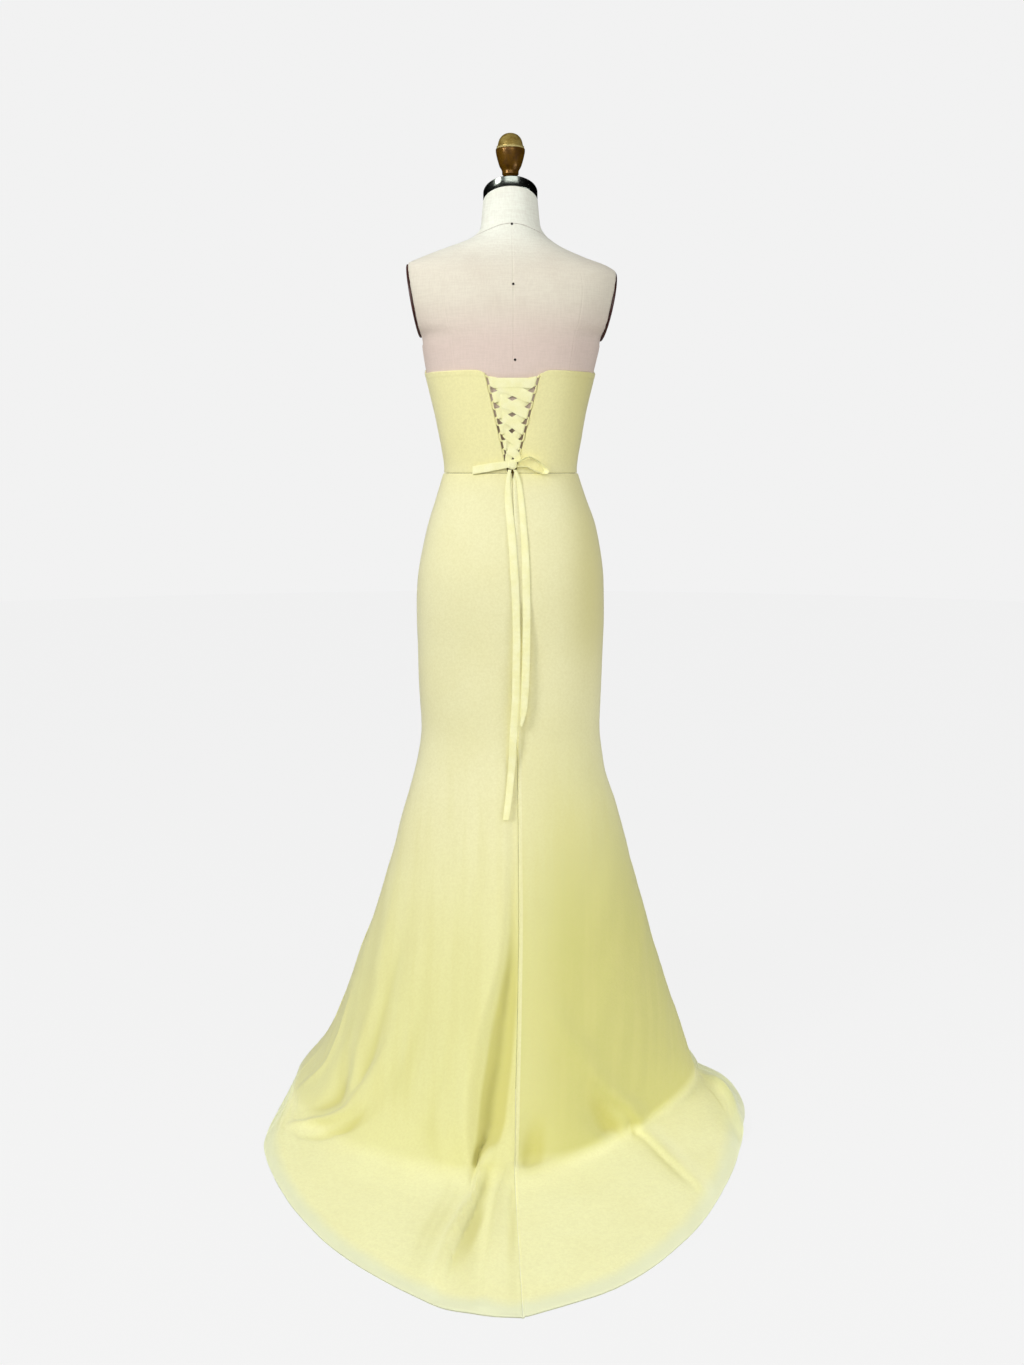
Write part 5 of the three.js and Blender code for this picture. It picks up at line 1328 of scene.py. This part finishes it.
def add_arm_plates():
    for side, node in ((-1, "arm_plate_left"), (1, "arm_plate_right")):
        middle, facing, rise, depthways, half_height = arm_plane(side)
        a = turns(96)[:, None]
        rings = [middle + rise * np.sin(a) * half_height * size
                 + depthways * np.cos(a) * ARM_HALF_DEPTH * size + facing * push
                 for push, size in PLATE_PROFILE]
        stand_for(loft(node + "_rim", rings, PLATE, sharp=40), node)


def add_neck_band():
    across = np.linspace(-2, 2, 129)[:-1]
    bottom = NECK_TOP_Z + 0.6 / math.cos(math.radians(NECK_TILT))
    top = bottom + BAND_HEIGHT
    width, depth = BAND_RADIUS, BAND_DEPTH
    shape = [(1.5, bottom, 1), (0.5, bottom + 0.4, 1), (0, bottom + 1.2, 1), (0, top - 1.6, 1),
             (0.5, top - 0.7, 1), (1.5, top, 1), (3.2, top + 0.4, 0.94), (6, top + 0.6, 0.85)]
    rings = [neck_ring(width - d, depth - d, z, NECK_TILT * tilt, across) for d, z, tilt in shape]
    rings += [neck_ring(width * 0.55, depth * 0.55, top + 1.0, NECK_TILT * 0.4, across),
              neck_ring(HUB_RADIUS, HUB_RADIUS, HUB_Z, 0, across)]
    stand_for(loft("neck_band_metal", rings, STEEL, sharp=30), "neck_band")


def add_finial():
    profile = [*FINIAL[:6], *refined(FINIAL[5:11], 4).tolist(), *FINIAL[11:14],
               *refined(FINIAL[14:], 4).tolist()]
    piece = turned("finial_turning", profile, (0, NECK_TOP_Y, FINIAL_Z), BRONZE)
    stand_for(piece, "finial")


def dome(name, middle, facing, radius, proud, material):
    """A small round head on a surface, facing out."""
    facing = unit(facing)
    side = unit(np.cross(facing, np.array([0.0, 0.0, 1.0])))
    up = np.cross(side, facing)
    turn = turns(24)[:, None]
    rings = []
    for a in np.linspace(0, math.pi / 2 - 0.12, 6):
        rings.append(middle + facing * proud * math.sin(a)
                     + radius * math.cos(a) * (side * np.cos(turn) + up * np.sin(turn)))
    return loft(name, rings, material, sharp=60)


def add_pins():
    for k, (x, z) in enumerate(PINS):
        place = on_back(x, z, 0.2)
        piece = dome(f"pin_{k + 1}", place, on_back(x, z, 1.2) - place, 2.1, 0.9, PIN)


back_left, back_right = add_skirt()
add_bodice()
add_loops(-1, "loops_left")
add_loops(1, "loops_right")
add_lace()
add_knot()
add_bow_left()
add_bow_right()
skirt_back_y = back_reader(back_left, back_right)
add_tail("tail_left", TAIL_LEFT, skirt_back_y, 6)
add_tail("tail_right", TAIL_RIGHT, skirt_back_y, 15)
add_form()
add_arm_plates()
add_neck_band()
add_finial()
add_pins()
for name, look in (("pole", STEEL), ("base", IRON)):
    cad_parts[name].data.materials.clear()
    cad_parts[name].data.materials.append(look)


# ---------------------------------------------------------------- studio
STUDIO_RADIUS = 9000.0
FLOOR_GLOW, FLOOR_PAPER, WALL_GLOW = 0.85, 0.05, 0.887
WORLD_BELOW, WORLD_LEVEL, WORLD_ABOVE = 0.14, 0.34, 0.56
CAMERA_FOCAL_PX, CAMERA_LONG_SIDE_PX, SENSOR = 1350.0, 1365.0, 36.0
CAMERA_PLACE, CAMERA_TURN, CAMERA_PITCH = (-0.10072, -2.3068, 1.040), 2.5637, 9.15


def grey(value):
    return (value, value, value, 1)


def stage_piece(name, points, faces, glow, paper):
    """Part of the studio: pale paper that only the camera sees, apart from shadows on it."""
    mesh = bpy.data.meshes.new(name)
    mesh.from_pydata((np.asarray(points) * MM).tolist(), [], faces)
    look = Look(name + "_paper", grey(paper), 0.9, Specular_IOR_Level=0.0)
    look.colour = look.mix(look.ramp(look.noise(2.0), 0.3, 0.7), look.colour, grey(paper * 0.97))
    look.set(Emission_Color=grey(1.0), Emission_Strength=glow)
    mesh.materials.append(look.finish())
    mesh.shade_smooth()
    piece = bpy.data.objects.new(name, mesh)
    bpy.context.scene.collection.objects.link(piece)
    piece.visible_diffuse = False
    piece.visible_glossy = False
    piece.visible_shadow = False


def add_studio():
    """A floor, and a round wall and ceiling far behind it."""
    sides = 96
    turn = turns(sides)
    circle = np.stack([np.cos(turn), np.sin(turn), 0 * turn], -1)
    stage_piece("studio_floor", circle * STUDIO_RADIUS + (0, 0, -0.6), [tuple(range(sides))],
                FLOOR_GLOW, FLOOR_PAPER)
    rings = [circle * STUDIO_RADIUS * math.cos(a) + (0, 0, STUDIO_RADIUS * math.sin(a) - 0.6)
             for a in np.linspace(0, 1.45, 16)]
    index = grid(len(rings), sides)
    beside = np.roll(index, -1, 1)
    faces = np.stack([index[:-1], index[1:], beside[1:], beside[:-1]], -1).reshape(-1, 4).tolist()
    stage_piece("studio_wall", np.concatenate(rings), faces + [index[-1].tolist()], WALL_GLOW, 0.0)


def add_world():
    """Light from all round: most from above, least from below."""
    world = bpy.data.worlds.new("studio")
    bpy.context.scene.world = world
    world.use_nodes = True
    tree = world.node_tree
    place = tree.nodes.new("ShaderNodeTexCoord")
    parts = tree.nodes.new("ShaderNodeSeparateXYZ")
    ramp = tree.nodes.new("ShaderNodeValToRGB")
    half = tree.nodes.new("ShaderNodeMath")
    half.operation = "MULTIPLY_ADD"
    half.inputs[1].default_value = half.inputs[2].default_value = 0.5
    tree.links.new(place.outputs["Generated"], parts.inputs[0])
    tree.links.new(parts.outputs["Z"], half.inputs[0])
    tree.links.new(half.outputs[0], ramp.inputs[0])
    tree.links.new(ramp.outputs[0], tree.nodes["Background"].inputs["Color"])
    stops = ramp.color_ramp.elements
    stops[0].position, stops[0].color = 0.0, grey(WORLD_BELOW)
    stops[1].position, stops[1].color = 1.0, grey(WORLD_ABOVE)
    middle = stops.new(0.5)
    middle.color = grey(WORLD_LEVEL)
    world.cycles_visibility.glossy = False


def put_in_scene(item, place, facing):
    """Links a light or the camera, looking along facing."""
    item.location = place
    item.rotation_mode = "QUATERNION"
    item.rotation_quaternion = Vector(facing).to_track_quat("-Z", "Y")
    bpy.context.scene.collection.objects.link(item)


def add_light(name, place, aim, width, height, power):
    data = bpy.data.lights.new(name, "AREA")
    data.shape, data.size, data.size_y, data.energy = "RECTANGLE", width, height, power
    light = bpy.data.objects.new(name, data)
    light.visible_camera = False
    put_in_scene(light, place, Vector(aim) - Vector(place))


def add_camera():
    data = bpy.data.cameras.new("camera")
    data.lens = SENSOR * CAMERA_FOCAL_PX / CAMERA_LONG_SIDE_PX
    data.sensor_width = SENSOR
    camera = bpy.data.objects.new("camera", data)
    turn, pitch = math.radians(CAMERA_TURN), math.radians(CAMERA_PITCH)
    level = math.cos(pitch)
    put_in_scene(camera, CAMERA_PLACE, (math.sin(turn) * level, math.cos(turn) * level, -math.sin(pitch)))
    bpy.context.scene.camera = camera


bpy.context.scene.view_settings.view_transform = "Standard"
add_studio()
add_world()
add_light("key", (-2.2, -1.8, 2.0), (0, -0.15, 0.6), 0.8, 1.2, 44)
add_light("front", (0.1, -2.4, 1.9), (0, -0.1, 1.1), 2.2, 1.2, 18)
add_light("side", (1.5, -0.9, 0.3), (0.1, -0.2, 0.2), 0.8, 0.6, 9)
add_camera()
